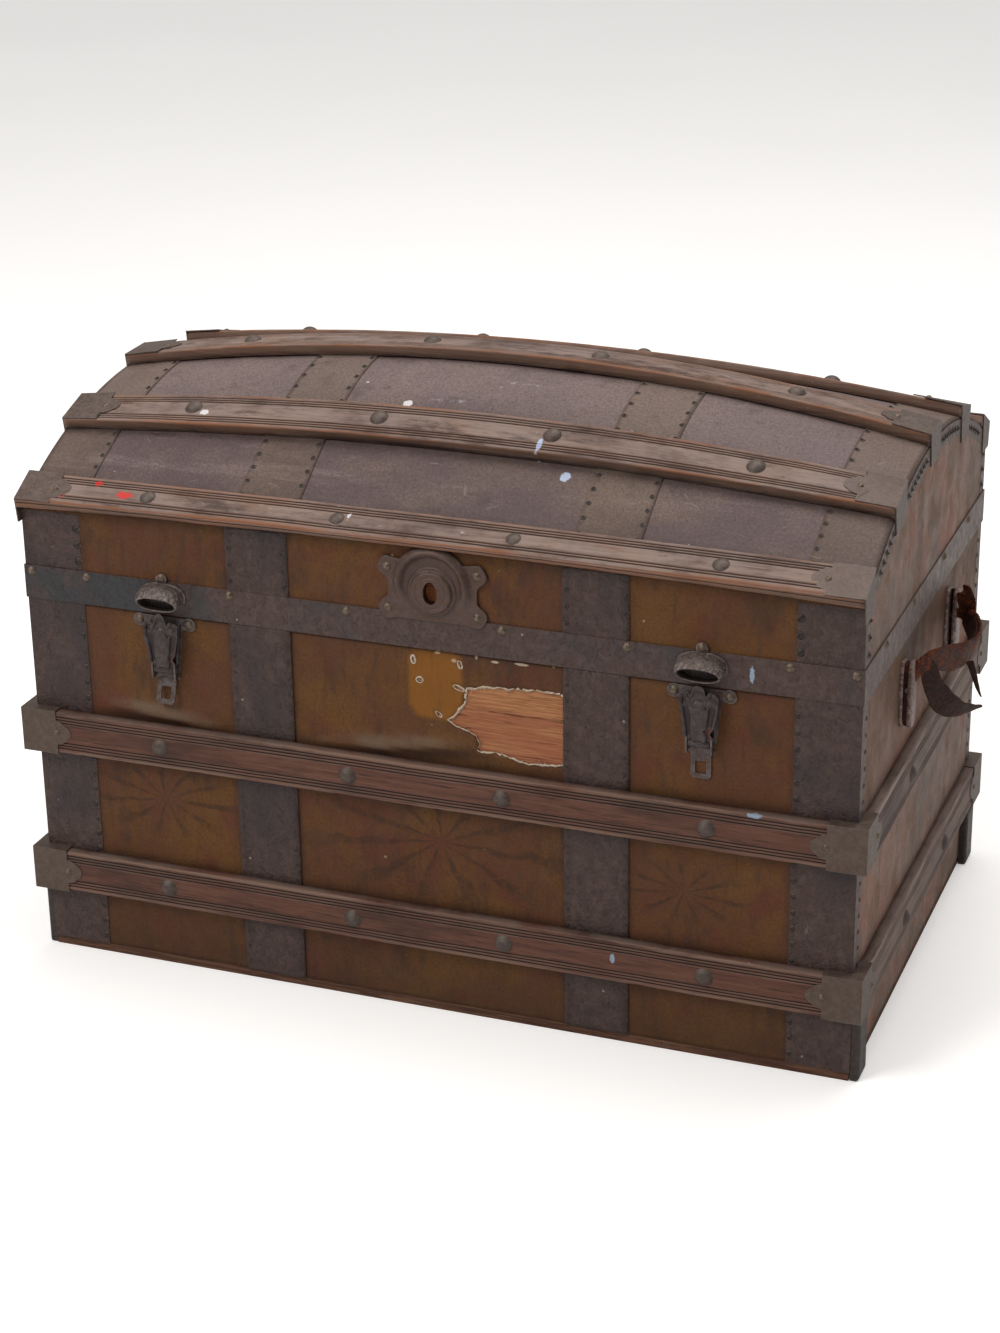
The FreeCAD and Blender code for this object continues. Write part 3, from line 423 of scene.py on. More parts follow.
def canvas_material(name, base, warm, dark, patch, red=(0.112, 0.033, 0.017), rays=(), daubs=(), blotch=None):
    """Painted canvas: fine weave, cloudy stains, a painted highlight on fold crests, grime and painted shade,
    and pinhead flecks of old paint.
    """
    paint = Paint(name)
    cloud = paint.noise(0.075, 6, 0.62, (1, 1, 0.75))
    paint.color = base
    paint.cover(cloud, 0.42, 0.62, warm)
    paint.cover(paint.noise(0.05, 5, 0.6, shift=12.0), 0.5, 0.66, red, 0.8)
    stain = paint.noise(0.035, 7, 0.7, (1, 1, 0.45), shift=3.1)
    paint.cover(stain, 0.5, 0.7, dark, 0.8)
    for centre_x, centre_z, reach in rays:
        paint.lay(paint.times(star_rays(paint, centre_x, centre_z, reach), 0.72), shade(dark, 0.7))
    fine = paint.noise(0.0028, 5, 0.8, shift=1.7)
    paint.cover(fine, 0.42, 0.64, dark, 0.55)
    paint.cover(fine, 0.46, 0.3, warm, 0.3)
    if blotch:
        broad = paint.noise(0.10, 5, 0.6, shift=23.0)
        paint.cover(broad, 0.5, 0.6, blotch, 0.6)
        paint.cover(broad, 0.45, 0.36, red, 0.5)
    paint.lay(paint.times(paint.attribute("patch"), paint.between(stain, 0.75, 0.5, 0.7, 1)), patch)
    drips = paint.noise(0.009, 6, 0.75, (1, 1, 0.12), shift=19.0)
    paint.cover(drips, 0.52, 0.68, shade(dark, 0.75), 0.35)
    paint.cover(drips, 0.42, 0.3, warm, 0.2)
    # Painted highlight along the crest of a canvas fold.
    rubbed = paint.times(paint.attribute("rubbed"), paint.between(stain, 0.36, 0.6, 0.45, 1.0))
    paint.lay(rubbed, (0.155, 0.108, 0.072))
    # Grime, and painted shade under and over the slats, under folds and along the seam; darker against the
    # strips and towards the bottom.
    grime = paint.times(paint.attribute("grime"), paint.between(cloud, 0.3, 0.6, 0.65, 1.0))
    paint.lay(grime, shade(dark, 0.62))
    paint.flecks(0.018, 0.0009, 0.14, 5.0, 0.7, (0.3, 0.24, 0.17))
    paint.daubs(daubs)
    weave = canvas_weave(paint)
    rough = paint.between(paint.noise(0.02, 5, 0.6, shift=2.0), 0.3, 0.7, 0.45, 0.7)
    relief = ((weave, 0.00008), (paint.noise(0.012, 4, 0.6), 0.0009), (fine, 0.0006))
    return paint.done(rough, relief, specular=0.2)


def sheet_material(name, base, light, tint, pebble=0.0011, grain=1.0, daubs=()):
    """Japanned sheet iron: pebbled, mottled, with scuffs and a little rust, painted light on faces turned
    away from the front and back, and grime and painted shade from the mesh.
    """
    paint = Paint(name)
    mottle = paint.noise(0.011, 6, 0.72)
    paint.color = base
    paint.cover(mottle, 0.42, 0.62, light)
    broad = paint.noise(0.12, 4, 0.6, (1, 1, 0.6), shift=4.0)
    facing = paint.between(paint.calc("ABSOLUTE", paint.axis("Y", "Normal")), 0.4, 0.8)
    paint.lay(paint.times(paint.between(broad, 0.48, 0.64, 0.0, 0.85), facing), tint)
    # Painted light: faces turned away from the front and back are made lighter.
    paint.lay(paint.calc("SUBTRACT", 0.55, paint.times(facing, 0.55)), (0.16, 0.115, 0.10))
    streaks = paint.noise(0.02, 5, 0.7, (1, 1, 0.16), shift=6.0)
    paint.cover(streaks, 0.55, 0.72, light, 0.5)
    worms = paint.noise(0.006, 4, 0.75, (1, 1, 0.7), shift=9.0, twist=1.2)
    paint.cover(worms, 0.5, 0.64, shade(base, 0.42), 0.65)
    paint.cover(worms, 0.42, 0.3, light, 0.45)
    dark_pits = paint.between(paint.noise(0.0032, 4, 0.85, shift=8.0), 0.54, 0.66)
    paint.lay(paint.times(dark_pits, 0.7), (0.017, 0.012, 0.011))
    paint.cover(paint.noise(0.028, 7, 0.75, shift=11.0), 0.6, 0.72, (0.085, 0.036, 0.018), 0.7)
    # Grime along the tack lines, and painted shade under and over the slats.
    paint.lay(paint.times(paint.attribute("grime"), 0.85), (0.02, 0.013, 0.012))
    scuffs = paint.noise(0.03, 6, 0.75, (1, 1, 0.5), shift=15.0)
    paint.cover(scuffs, 0.66, 0.74, (0.2, 0.165, 0.15), 0.5)
    paint.flecks(0.02, 0.0008, 0.22, 2.0, 0.7, (0.3, 0.26, 0.23))
    paint.daubs(daubs)
    rough = paint.between(mottle, 0.3, 0.7, 0.36, 0.6)
    depth = 0.0016 * grain
    relief = ((paint.noise(pebble * 3, 3, 0.6, shift=1.0), depth), (paint.noise(0.02, 3, 0.5), depth))
    return paint.done(rough, relief, specular=0.3)


def roof_material(name, base, brown, light, daubs=()):
    """Sheet iron of the roof: dusty, faded, wiped along its length and flecked with paint; painted light on
    its crown and painted shade beside the slats.
    """
    paint = Paint(name)
    cloud = paint.noise(0.11, 6, 0.65, (0.7, 1, 1))
    paint.color = base
    paint.cover(cloud, 0.42, 0.64, brown)
    wipe = paint.noise(0.04, 6, 0.72, (0.12, 1, 1), shift=3.0)
    paint.cover(wipe, 0.5, 0.72, light, 0.55)
    # Painted light from above, with some dust: lighter where the roof faces straight up.
    paint.cover(paint.axis("Z", "Normal"), 0.87, 0.985, light, 0.5)
    fine = paint.noise(0.0026, 5, 0.85, shift=7.0)
    paint.lay(paint.between(fine, 0.34, 0.6, 0.6, 0.0), shade(base, 0.4))
    paint.cover(fine, 0.56, 0.7, light, 0.35)
    paint.cover(paint.noise(0.035, 6, 0.7, shift=9.0), 0.54, 0.7, shade(base, 0.55), 0.5)
    # Painted shade beside the slats.
    paint.lay(paint.attribute("grime"), (0.035, 0.023, 0.02))
    scratch_distance, _ = paint.cells(0.045, (0.25, 1.3, 1), 2.0, "DISTANCE_TO_EDGE")
    gate = paint.between(paint.noise(0.03, 3, 0.6, shift=13.0), 0.56, 0.64)
    scratch = paint.times(paint.between(scratch_distance, 0.0, 0.01, 1.0, 0.0), gate)
    paint.lay(paint.times(scratch, 0.4), (0.27, 0.22, 0.2))
    paint.flecks(0.024, 0.0010, 0.25, 1.0, 0.75, (0.5, 0.47, 0.46))
    paint.daubs(daubs)
    rough = paint.between(cloud, 0.3, 0.7, 0.48, 0.7)
    return paint.done(rough, ((fine, 0.0005), (paint.noise(0.04, 3, 0.5), 0.0018)), specular=0.25)


def stretched(along, share):
    """Scale that draws noise out along one axis."""
    return tuple(share if k == along else 1 for k in range(3))


def bare_patches(paint, cloud, raw, dark):
    """Where a slat has lost its dark surface: raw wood, new stains and specks of whitewash, with painted
    shade on faces that look forward or back.
    """
    paint.cover(cloud, 0.5, 0.32, raw, 0.65)
    paint.cover(paint.noise(0.03, 7, 0.75, (0.3, 1, 1), shift=27.0), 0.5, 0.66, dark, 0.8)
    # Painted shade: darker raw wood on faces that look forward or back.
    paint.cover(paint.calc("ABSOLUTE", paint.axis("Y", "Normal")), 0.75, 0.95, shade(raw, 0.55), 0.75)
    paint.cover(paint.noise(0.016, 7, 0.8, (0.5, 1, 1), shift=21.0), 0.64, 0.7, (0.36, 0.33, 0.32), 0.7)


def wood_material(name, along, base, streak, dark, dust, dust_amount, edge_color, raw=None, daubs=()):
    """Old hardwood: long grain along one axis, worn arrises and dust on upper faces."""
    paint = Paint(name)
    stretch = stretched(along, 0.045)
    grain = paint.noise(0.0075, 7, 0.72, stretch, twist=0.4)
    paint.color = base
    paint.cover(grain, 0.38, 0.62, streak)
    pores = paint.noise(0.0022, 3, 0.7, stretch, shift=3.0)
    paint.cover(pores, 0.5, 0.68, dark, 0.8)
    cloud = paint.noise(0.06, 5, 0.65, stretched(along, 0.35), shift=5.0)
    paint.cover(cloud, 0.45, 0.68, dark, 0.75)
    paint.lay(dust_share(paint, dust_amount), dust)
    if raw:
        bare_patches(paint, cloud, raw, dark)
    paint.lay(paint.times(paint.attribute("arris"), paint.between(grain, 0.4, 0.6)), edge_color)
    paint.cover(paint.noise(0.009, 6, 0.8, stretch, shift=17.0), 0.6, 0.72, shade(base, 0.35), 0.6)
    paint.lay(paint.attribute("groove"), (0.018, 0.011, 0.009))
    paint.flecks(0.03, 0.0010, 0.22, 4.0, 0.8, (0.45, 0.42, 0.4))
    paint.daubs(daubs)
    rough = paint.between(grain, 0.3, 0.7, 0.5, 0.75)
    return paint.done(rough, ((grain, 0.0008), (pores, 0.0004)), specular=0.22)


def pine_material(name, along, light=(0.40, 0.180, 0.080), deep=(0.31, 0.122, 0.050)):
    """Bare old pine: soft growth bands along one axis, fine fibres and drying cracks."""
    paint = Paint(name)
    stretch = stretched(along, 0.035)
    bands = paint.noise(0.012, 4, 0.6, stretch, twist=0.15)
    rings = paint.calc("SINE", paint.times(bands, 60.0))
    paint.color = light
    paint.cover(rings, -0.6, 0.9, deep)
    fibres = paint.noise(0.0016, 4, 0.75, stretched(along, 0.05), shift=2.0)
    paint.cover(fibres, 0.46, 0.68, shade(deep, 0.45), 0.65)
    paint.cover(paint.noise(0.03, 5, 0.65, stretch, shift=6.0), 0.5, 0.66, (0.27, 0.078, 0.045), 0.6)
    crack = paint.between(paint.noise(0.007, 5, 0.7, stretched(along, 0.03), shift=9.0), 0.57, 0.63)
    paint.lay(paint.times(crack, 0.8), (0.10, 0.034, 0.018))
    paint.cover(paint.noise(0.04, 5, 0.7, shift=14.0), 0.56, 0.7, (0.12, 0.085, 0.055), 0.5)
    return paint.done(0.72, ((rings, 0.00016), (fibres, 0.0005), (crack, -0.0006)), specular=0.25)


def iron_material(name, base, light, rust, dusty=0.25, grain=0.006):
    """Pressed iron with the last of its black japan: bright arrises, rust, and grime and painted shade in
    hollows and recesses.
    """
    paint = Paint(name)
    mottle = paint.noise(grain, 6, 0.72)
    paint.color = base
    paint.cover(mottle, 0.4, 0.64, light)
    paint.cover(paint.noise(0.014, 7, 0.75, shift=3.0), 0.52, 0.68, rust, 0.8)
    paint.cover(paint.noise(0.0016, 3, 0.7, shift=5.0), 0.6, 0.74, (0.02, 0.014, 0.012), 0.6)
    paint.lay(dust_share(paint, dusty), (0.16, 0.122, 0.105))
    rub = paint.times(paint.worn_edges(0.0012), paint.between(mottle, 0.35, 0.6, 0.2, 0.8))
    paint.lay(rub, (0.17, 0.135, 0.12))
    # Grime in hollows, and painted shade inside the hood's mouth and in the lever's valleys and foot.
    paint.lay(paint.attribute("grime"), (0.016, 0.011, 0.011))
    paint.lay(paint.attribute("redness"), (0.16, 0.022, 0.016))
    rough = paint.between(mottle, 0.3, 0.7, 0.36, 0.6)
    return paint.done(rough, ((paint.noise(0.0016, 3, 0.6), 0.0004), (mottle, 0.0008)), metal=0.35)


def brass_material():
    """Tarnished brass-headed nails."""
    paint = Paint("tarnished_brass")
    mottle = paint.noise(0.003, 5, 0.7)
    paint.color = (0.075, 0.052, 0.036)
    paint.cover(mottle, 0.35, 0.65, (0.19, 0.145, 0.105))
    return paint.done(paint.between(mottle, 0.3, 0.7, 0.35, 0.6), ((mottle, 0.0004),), metal=0.55)


def leather_material(name, base, bright, dark, crack, flecks=0.0):
    """Dry leather, or flaking rust, that has cracked through its grain."""
    paint = Paint(name)
    cloud = paint.noise(0.009, 6, 0.75)
    paint.color = base
    paint.cover(cloud, 0.44, 0.64, bright)
    edge, _ = paint.cells(crack, feature="DISTANCE_TO_EDGE")
    split = paint.between(edge, 0.0, 0.09, 1.0, 0.0)
    paint.lay(paint.times(split, 0.75), dark)
    paint.cover(paint.noise(0.004, 4, 0.7, shift=4.0), 0.56, 0.7, dark, 0.8)
    paint.cover(paint.noise(0.0024, 5, 0.8, shift=6.0), 0.60, 0.66, (0.42, 0.16, 0.085), flecks)
    rough = paint.between(cloud, 0.3, 0.7, 0.5, 0.72)
    return paint.done(rough, ((edge, 0.0009), (cloud, 0.002)), specular=0.18)


def paper_material():
    """Aged plain lining paper with foxing and damp marks."""
    paint = Paint("lining_paper")
    cloud = paint.noise(0.16, 6, 0.65)
    paint.color = (0.5, 0.4, 0.27)
    paint.cover(cloud, 0.4, 0.68, (0.36, 0.265, 0.165))
    paint.cover(paint.noise(0.02, 6, 0.75, shift=3.0), 0.6, 0.72, (0.2, 0.12, 0.06), 0.6)
    return paint.done(0.8, ((paint.noise(0.003, 4, 0.7), 0.0003), (cloud, 0.003)), specular=0.2)


def frayed_material():
    """Cream canvas backing at a torn edge."""
    paint = Paint("frayed_threads")
    fine = paint.noise(0.002, 4, 0.7)
    paint.color = (0.56, 0.47, 0.37)
    paint.cover(fine, 0.35, 0.65, (0.30, 0.235, 0.17))
    return paint.done(0.85, ((fine, 0.0003),), specular=0.2)


# Spots of stray paint: (place, half sizes) in millimetres, then the colour.
OLD_WHITE = (0.62, 0.62, 0.64)
OLD_RED = (0.55, 0.035, 0.03)
BLUE_PAINT = (0.26, 0.33, 0.43)
PALE_BLUE = (0.42, 0.5, 0.66)
BARE_THREAD = (0.42, 0.34, 0.25)
ROOF_DAUBS = [((-75, -106, 586), (5, 5, 8), OLD_WHITE), ((82, -157, 561), (2.5, 3.5, 8), PALE_BLUE),
              ((113, -172, 551), (5, 6, 8), PALE_BLUE), ((-388, -221, 515), (4, 4, 8), OLD_WHITE),
              ((-33, -97, 589), (22, 3, 9), (0.26, 0.24, 0.26)),
              ((26, -59, 601), (26, 3.5, 9), (0.26, 0.24, 0.25))]
ROOF_SLAT_DAUBS = [((-386, -257, 505), (6, 7, 8), OLD_RED), ((-351, -242, 514), (5, 4, 8), OLD_RED),
                   ((-318, -253, 508), (15, 6, 8), OLD_RED), ((81, -155, 573), (3, 8, 9), PALE_BLUE),
                   ((-79, -248, 510), (3, 7, 9), OLD_WHITE), ((-278, -149, 568), (5, 4, 8), OLD_WHITE),
                   ((308, -229, 522), (8, 4, 8), OLD_WHITE),
                   ((-163, -248, 510), (26, 5, 9), (0.3, 0.27, 0.27))]
BASE_SLAT_DAUBS = [((334, -278, 275), (9, 10, 5), BLUE_PAINT), ((331, -276, 119), (7, 8, 3), BLUE_PAINT),
                   ((194, -276, 98), (3, 8, 6), BLUE_PAINT)]
BAND_DAUBS = [((326, -264, 412), (2.5, 8, 9), BLUE_PAINT)]
CANVAS_DAUBS = [((53, -260, 395), (1.6, 6, 5), BARE_THREAD), ((72, -260, 390), (4, 6, 1.5), BARE_THREAD),
                ((99, -260, 391), (7, 6, 1.5), BARE_THREAD), ((30, -260, 386), (3, 6, 2), (0.40, 0.3, 0.2)),
                ((13, -260, 392), (3, 6, 1.5), (0.40, 0.3, 0.2)),
                ((150, -260, 478), (1.5, 6, 6), (0.40, 0.33, 0.27))]
# Fans of dark strokes on the front: centre x, centre z and reach.
RAYS = ((0.012, 0.190, 0.175), (-0.29, 0.190, 0.105), (0.262, 0.176, 0.08))

CANVAS = canvas_material("painted_canvas", (0.106, 0.041, 0.0165), (0.132, 0.056, 0.0135),
                         (0.052, 0.026, 0.016), (0.205, 0.080, 0.011), rays=RAYS, daubs=CANVAS_DAUBS)
END_CANVAS = canvas_material("faded_end_canvas", (0.285, 0.190, 0.150), (0.185, 0.105, 0.062),
                             (0.075, 0.046, 0.036), (0.098, 0.048, 0.022), red=(0.31, 0.145, 0.105),
                             blotch=(0.165, 0.124, 0.106))
STRIP = sheet_material("japanned_strip", (0.053, 0.031, 0.026), (0.079, 0.050, 0.043),
                       (0.036, 0.025, 0.028))
BAND = sheet_material("band_iron", (0.062, 0.036, 0.031), (0.084, 0.055, 0.048), (0.026, 0.032, 0.037),
                      pebble=0.0014, grain=0.7, daubs=BAND_DAUBS)
ROOF = roof_material("roof_sheet_iron", (0.100, 0.069, 0.070), (0.150, 0.107, 0.092), (0.235, 0.18, 0.178),
                     ROOF_DAUBS)
ROOF_STRIP = roof_material("roof_strip_iron", (0.108, 0.074, 0.062), (0.150, 0.107, 0.086),
                           (0.215, 0.162, 0.142))
WOOD_X = wood_material("slat_wood_long", 0, (0.098, 0.040, 0.027), (0.140, 0.064, 0.044),
                       (0.042, 0.021, 0.016), (0.155, 0.112, 0.094), 0.8, (0.185, 0.115, 0.085),
                       daubs=BASE_SLAT_DAUBS)
WOOD_Y = wood_material("slat_wood_end", 1, (0.14, 0.095, 0.078), (0.21, 0.15, 0.128), (0.045, 0.028, 0.024),
                       (0.22, 0.165, 0.145), 0.6, (0.30, 0.235, 0.205))
WOOD_ROOF = wood_material("slat_wood_roof", 0, (0.140, 0.090, 0.072), (0.25, 0.175, 0.145),
                          (0.045, 0.026, 0.022), (0.25, 0.195, 0.175), 0.6, (0.20, 0.085, 0.045),
                          (0.22, 0.125, 0.085), ROOF_SLAT_DAUBS)
PINE_X = pine_material("bare_pine", 0)
PINE_Y = pine_material("bare_pine_end", 1)
# A darker copy of the bare pine, for the bottom board.
DARKER_PINE = pine_material("bottom_pine", 0, (0.13, 0.062, 0.036), (0.075, 0.033, 0.02))
CLAMP_IRON = iron_material("clamp_iron", (0.074, 0.049, 0.037), (0.108, 0.077, 0.060),
                           (0.082, 0.038, 0.022), 0.35)
ROOF_CLAMP_IRON = iron_material("roof_clamp_iron", (0.072, 0.048, 0.039), (0.12, 0.088, 0.074),
                                (0.08, 0.038, 0.024))
SHOE_IRON = iron_material("shoe_iron", (0.028, 0.021, 0.019), (0.06, 0.045, 0.04), (0.06, 0.03, 0.02), 0.1)
RIVET_IRON = iron_material("rivet_iron", (0.062, 0.045, 0.038), (0.105, 0.08, 0.068), (0.075, 0.036, 0.022),
                           0.3)
DARK_IRON = iron_material("tack_iron", (0.016, 0.011, 0.010), (0.03, 0.022, 0.02), (0.03, 0.014, 0.01), 0.0)
LATCH_IRON = iron_material("latch_iron", (0.058, 0.041, 0.038), (0.12, 0.10, 0.097), (0.09, 0.036, 0.022))
LEVER_IRON = iron_material("lever_iron", (0.034, 0.024, 0.023), (0.070, 0.056, 0.056), (0.06, 0.022, 0.015))
HOOD_IRON = iron_material("hood_iron", (0.075, 0.056, 0.052), (0.26, 0.215, 0.20), (0.08, 0.04, 0.03), 0.5,
                          0.0028)
CAP_IRON = iron_material("cap_iron", (0.11, 0.074, 0.064), (0.34, 0.25, 0.225), (0.09, 0.022, 0.016), 0.3,
                         0.004)
LOCK_IRON = iron_material("lock_iron", (0.072, 0.040, 0.030), (0.100, 0.062, 0.055), (0.095, 0.040, 0.02),
                          0.45)
BRASS = brass_material()
RUSTY_PLATE = leather_material("rusty_plate", (0.12, 0.035, 0.008), (0.22, 0.075, 0.02),
                               (0.02, 0.008, 0.005), 0.003)
LEATHER = leather_material("cracked_leather", (0.045, 0.009, 0.004), (0.15, 0.034, 0.008),
                           (0.008, 0.003, 0.003), 0.0045, 0.9)
DARK_LEATHER = leather_material("dark_leather", (0.028, 0.010, 0.007), (0.060, 0.024, 0.016),
                                (0.008, 0.003, 0.003), 0.006)
PACKING = leather_material("packing_leather", (0.030, 0.008, 0.006), (0.085, 0.018, 0.011),
                           (0.006, 0.003, 0.003), 0.003, 0.5)
PAPER = paper_material()
FRAYED = frayed_material()




# ---- CAD nodes that stay, with their materials ---------------------------------------------------
def dress(names, material, bevel=0.0):
    for name in names:
        nodes[name].data.materials.clear()
        nodes[name].data.materials.append(material)
        if bevel:
            modify(nodes[name], "BEVEL", width=bevel, segments=2, limit_method="ANGLE",
                   angle_limit=math.radians(40), harden_normals=False)


def dress_cad():
    dress(("front_board", "back_board", "lid_front_board", "lid_back_board", "roof_staves"), PINE_X)
    dress(["bottom_board"], DARKER_PINE)
    ends = ("left_end_board", "right_end_board", "lid_left_end_board", "lid_right_end_board")
    dress((*ends, "tray_cleats"), PINE_Y)
    dress(("base_lining", "lid_lining"), PAPER)
    dress(["lid_band"], BAND)
    dress(["base_slat_clamps"], CLAMP_IRON, 0.6 * MM)
    dress(["roof_slat_clamps"], ROOF_CLAMP_IRON, 0.5 * MM)
    dress(["corner_shoes"], SHOE_IRON)
    dress(("base_slat_rivets", "roof_slat_rivets"), RIVET_IRON)
    dress(("base_hardware_nails", "lid_hardware_nails", "band_rivets"), BRASS)
    dress(("latch_plates", "hinge_base_leaves", "hinge_lid_leaves", "pivot_pins", "lock_case"), LATCH_IRON)
    dress(("lid_corner_bindings", "base_corner_bindings", "base_middle_strips", "lid_end_arches"), STRIP)


def tack_heads(name, node, body, grow):
    """The tacks of one node with their heads grown, each about its own middle."""
    mesh = nodes[node].data
    verts = np.empty(len(mesh.vertices) * 3)
    mesh.vertices.foreach_get("co", verts)
    verts = verts.reshape(-1, 3)
    owner = np.arange(len(verts))
    edges = np.array([tuple(edge.vertices) for edge in mesh.edges])
    changed = True
    while changed:
        low = np.minimum(owner[edges[:, 0]], owner[edges[:, 1]])
        fresh = owner.copy()
        np.minimum.at(fresh, edges[:, 0], low)
        np.minimum.at(fresh, edges[:, 1], low)
        changed = not np.array_equal(fresh, owner)
        owner = fresh
    _, index, count = np.unique(owner, return_inverse=True, return_counts=True)
    middle = np.zeros((len(count), 3))
    np.add.at(middle, index, verts)
    middle /= count[:, None]
    grown = middle[index] + (verts - middle[index]) * grow
    faces = [tuple(face.vertices) for face in mesh.polygons]
    add_mesh(name, body, grown, faces, DARK_IRON, [node], "pressed_iron", smooth=False)


# ---- slats ----------------------------------------------------------------------------------------
GROOVE_WIDTH = 1.8 * MM
GROOVE_DEPTH = 1.3 * MM
GROOVE_PITCH = 3.2 * MM


def reeds(edge, direction, count, thick):
    """Round-bottomed grooves starting at an edge and stepping in: (across, out, groove) points."""
    points = []
    for k in range(count):
        start = edge + direction * k * GROOVE_PITCH
        for share, drop in ((0.0, 0.0), (0.25, 0.75), (0.5, 1.0), (0.75, 0.75), (1.0, 0.0)):
            across = start + direction * share * GROOVE_WIDTH
            points.append((across, thick - drop * GROOVE_DEPTH, min(1.0, drop * 1.2)))
        if k < count - 1:
            points.append((start + direction * (GROOVE_WIDTH + GROOVE_PITCH) / 2, thick + 0.15 * MM, 0.0))
    return points


def slat_profile(width, thick):
    """Closed outline of a reeded slat: (across, out, groove, arris) rows, starting at the foot."""
    half = width / 2
    corner = 1.8 * MM
    side = [(-half, 0.0, 0, 0), (-half, thick * 0.5, 0, 0), (-half, thick - corner, 0, 0.5)]
    arc = [(-half + corner * (1 - math.cos(a)), thick - corner * (1 - math.sin(a)), 0, 1.0)
           for a in np.linspace(0.25, math.pi / 2, 4)]
    left = [(x, z, g, 0.25) for x, z, g in reeds(-half + 4.2 * MM, 1, 3, thick)]
    left_half = side + arc + left
    middle = [(x, thick + 0.3 * MM * (1 - (x / half) ** 2), 0, 0)
              for x in np.linspace(-half * 0.42, half * 0.42, 7)]
    right_half = [(-x, z, g, a) for x, z, g, a in reversed(left_half)]
    return np.array(left_half + middle + right_half, float)


def edge_profile(corners):
    """Outline of an edge slat between four corners (toe, lip, crest, heel), as (point, groove, arris)."""
    toe, lip, crest, heel = corners
    top = crest - lip
    length = np.linalg.norm(top)
    along = top / length
    out = np.array([-along[1], along[0]])
    rows = [(heel, 0, 0), (heel + (toe - heel) * 0.5, 0, 0), (toe + (heel - toe) * 0.05, 0, 0)]
    up = lip - toe
    lip_rows = ((0.08, 0.5, 0), (0.3, 1.1, 0), (0.48, 0.9, 0), (0.55, -0.3, 1), (0.62, 0.9, 0), (0.8, 1.2, 0))
    for share, bulge, groove in lip_rows:
        rows.append((toe + up * share + np.array([-bulge * MM, 0]), groove, 0.7 * (1 - groove)))
    nose = 2.4 * MM
    down = up / np.linalg.norm(up) * nose * 0.8
    for angle in np.linspace(0.2, 1.2, 4):
        rows.append((lip + along * nose * (1 - math.cos(angle)) - down * (1 - math.sin(angle)), 0, 1.0))
    groups = (reeds(5.0 * MM, 1, 2, 0.0), reeds(length - 3.6 * MM, -1, 3, 0.0))
    outer_reeds, inner_reeds = ([(lip + along * a + out * o, groove, 0.2) for a, o, groove in group]
                                for group in groups)
    rows += outer_reeds
    rows += [(lip + along * length * share + out * 0.3 * MM, 0, 0) for share in np.linspace(0.32, 0.66, 6)]
    rows += inner_reeds[::-1]
    rows += [(crest - along * 1.4 * MM, 0, 0.5), (crest + (heel - crest) * 0.06, 0, 1.0),
             (crest + (heel - crest) * 0.2, 0, 0.4), (crest + (heel - crest) * 0.6, 0, 0)]
    return rows


def weather(rings, arris, seed):
    """Uneven faces and knocked arrises on a bar's rings; arris has one value per ring point."""
    flat = rings.reshape(-1, 3)
    centre = rings.mean(1, keepdims=True).repeat(rings.shape[1], 1).reshape(-1, 3)
    inward = centre - flat
    inward /= np.linalg.norm(inward, axis=1, keepdims=True) + 1e-9
    edge = np.tile(arris, rings.shape[0])
    knocks = np.maximum(0, noise(flat, 13 * MM, seed) - 0.25)
    knocks += 0.5 * np.maximum(0, noise(flat, 5 * MM, seed + 1))
    chips = inward * (edge * knocks * 0.9 * MM)[:, None]
    sway = jitter(flat, 70 * MM, seed + 2) * 0.35 * MM
    sway += jitter(flat, 9 * MM, seed + 5) * 0.07 * MM
    return (flat + chips + sway).reshape(rings.shape)


def add_slat(name, body, rings, profile, seed, material, replaces):
    rings = weather(rings, profile[:, 3], seed)
    verts, faces = lofted(rings)
    attributes = {"groove": np.tile(profile[:, 2], len(rings)), "arris": np.tile(profile[:, 3], len(rings))}
    obj = add_mesh(name, body, verts, faces, material, replaces, "hardwood_slat", attributes)
    obj.data.polygons.foreach_set("use_smooth", [len(p.vertices) == 4 for p in obj.data.polygons])


def straight_slat(name, stations, along, foot, sign, turn, mid, seed, material, replaces):
    """A level slat: along is the axis it follows, and turn sets which way round its section is drawn."""
    profile = slat_profile(SLAT_WIDTH, SLAT_THICK)
    rings = np.empty((len(stations), len(profile), 3))
    rings[:, :, along] = stations[:, None]
    rings[:, :, 1 - along] = sign * (foot + SLAT_LIFT + profile[None, :, 1])
    rings[:, :, 2] = mid + turn * profile[None, :, 0]
    add_slat(name, "base", rings, profile, seed, material, replaces)


def slat_stations(low, high, spare=0.0):
    stations = np.arange(low, high + spare, SLAT_STEP)
    stations[-1] = high
    return stations


def base_slats():
    """Straight slats round the base: two rows on each of the four faces."""
    rows = [(row, box, (box[0].z + box[1].z) / 2) for row, box in (("lower", SLAT_LOW), ("upper", SLAT_HIGH))]
    seed = 10
    for row, box, mid in rows:
        for face, sign in (("front", -1), ("back", 1)):
            stations = slat_stations(box[0].x, box[1].x, 2 * MM)
            straight_slat("slat_%s_%s" % (face, row), stations, 0, HALF_D, sign, -sign, mid, seed, WOOD_X,
                          ["%s_%s_slat" % (face, row)])
            seed += 20
    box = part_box("right_end_slats")
    stations = slat_stations(box[0].y, box[1].y)
    for side, sign in (("right", 1), ("left", -1)):
        for row, _, mid in rows:
            replaced = ["%s_end_slats" % side] if row == "upper" else []
            straight_slat("slat_%s_end_%s" % (side, row), stations, 1, HALF_L, sign, sign, mid, seed, WOOD_Y,
                          replaced)
            seed += 20


def lip_rise(x):
    """How far the lower edge of the front and back edge slats has bowed up from their clamps."""
    return (2.5 + 8.0 * (1 - (x / HALF_L) ** 2)) * MM


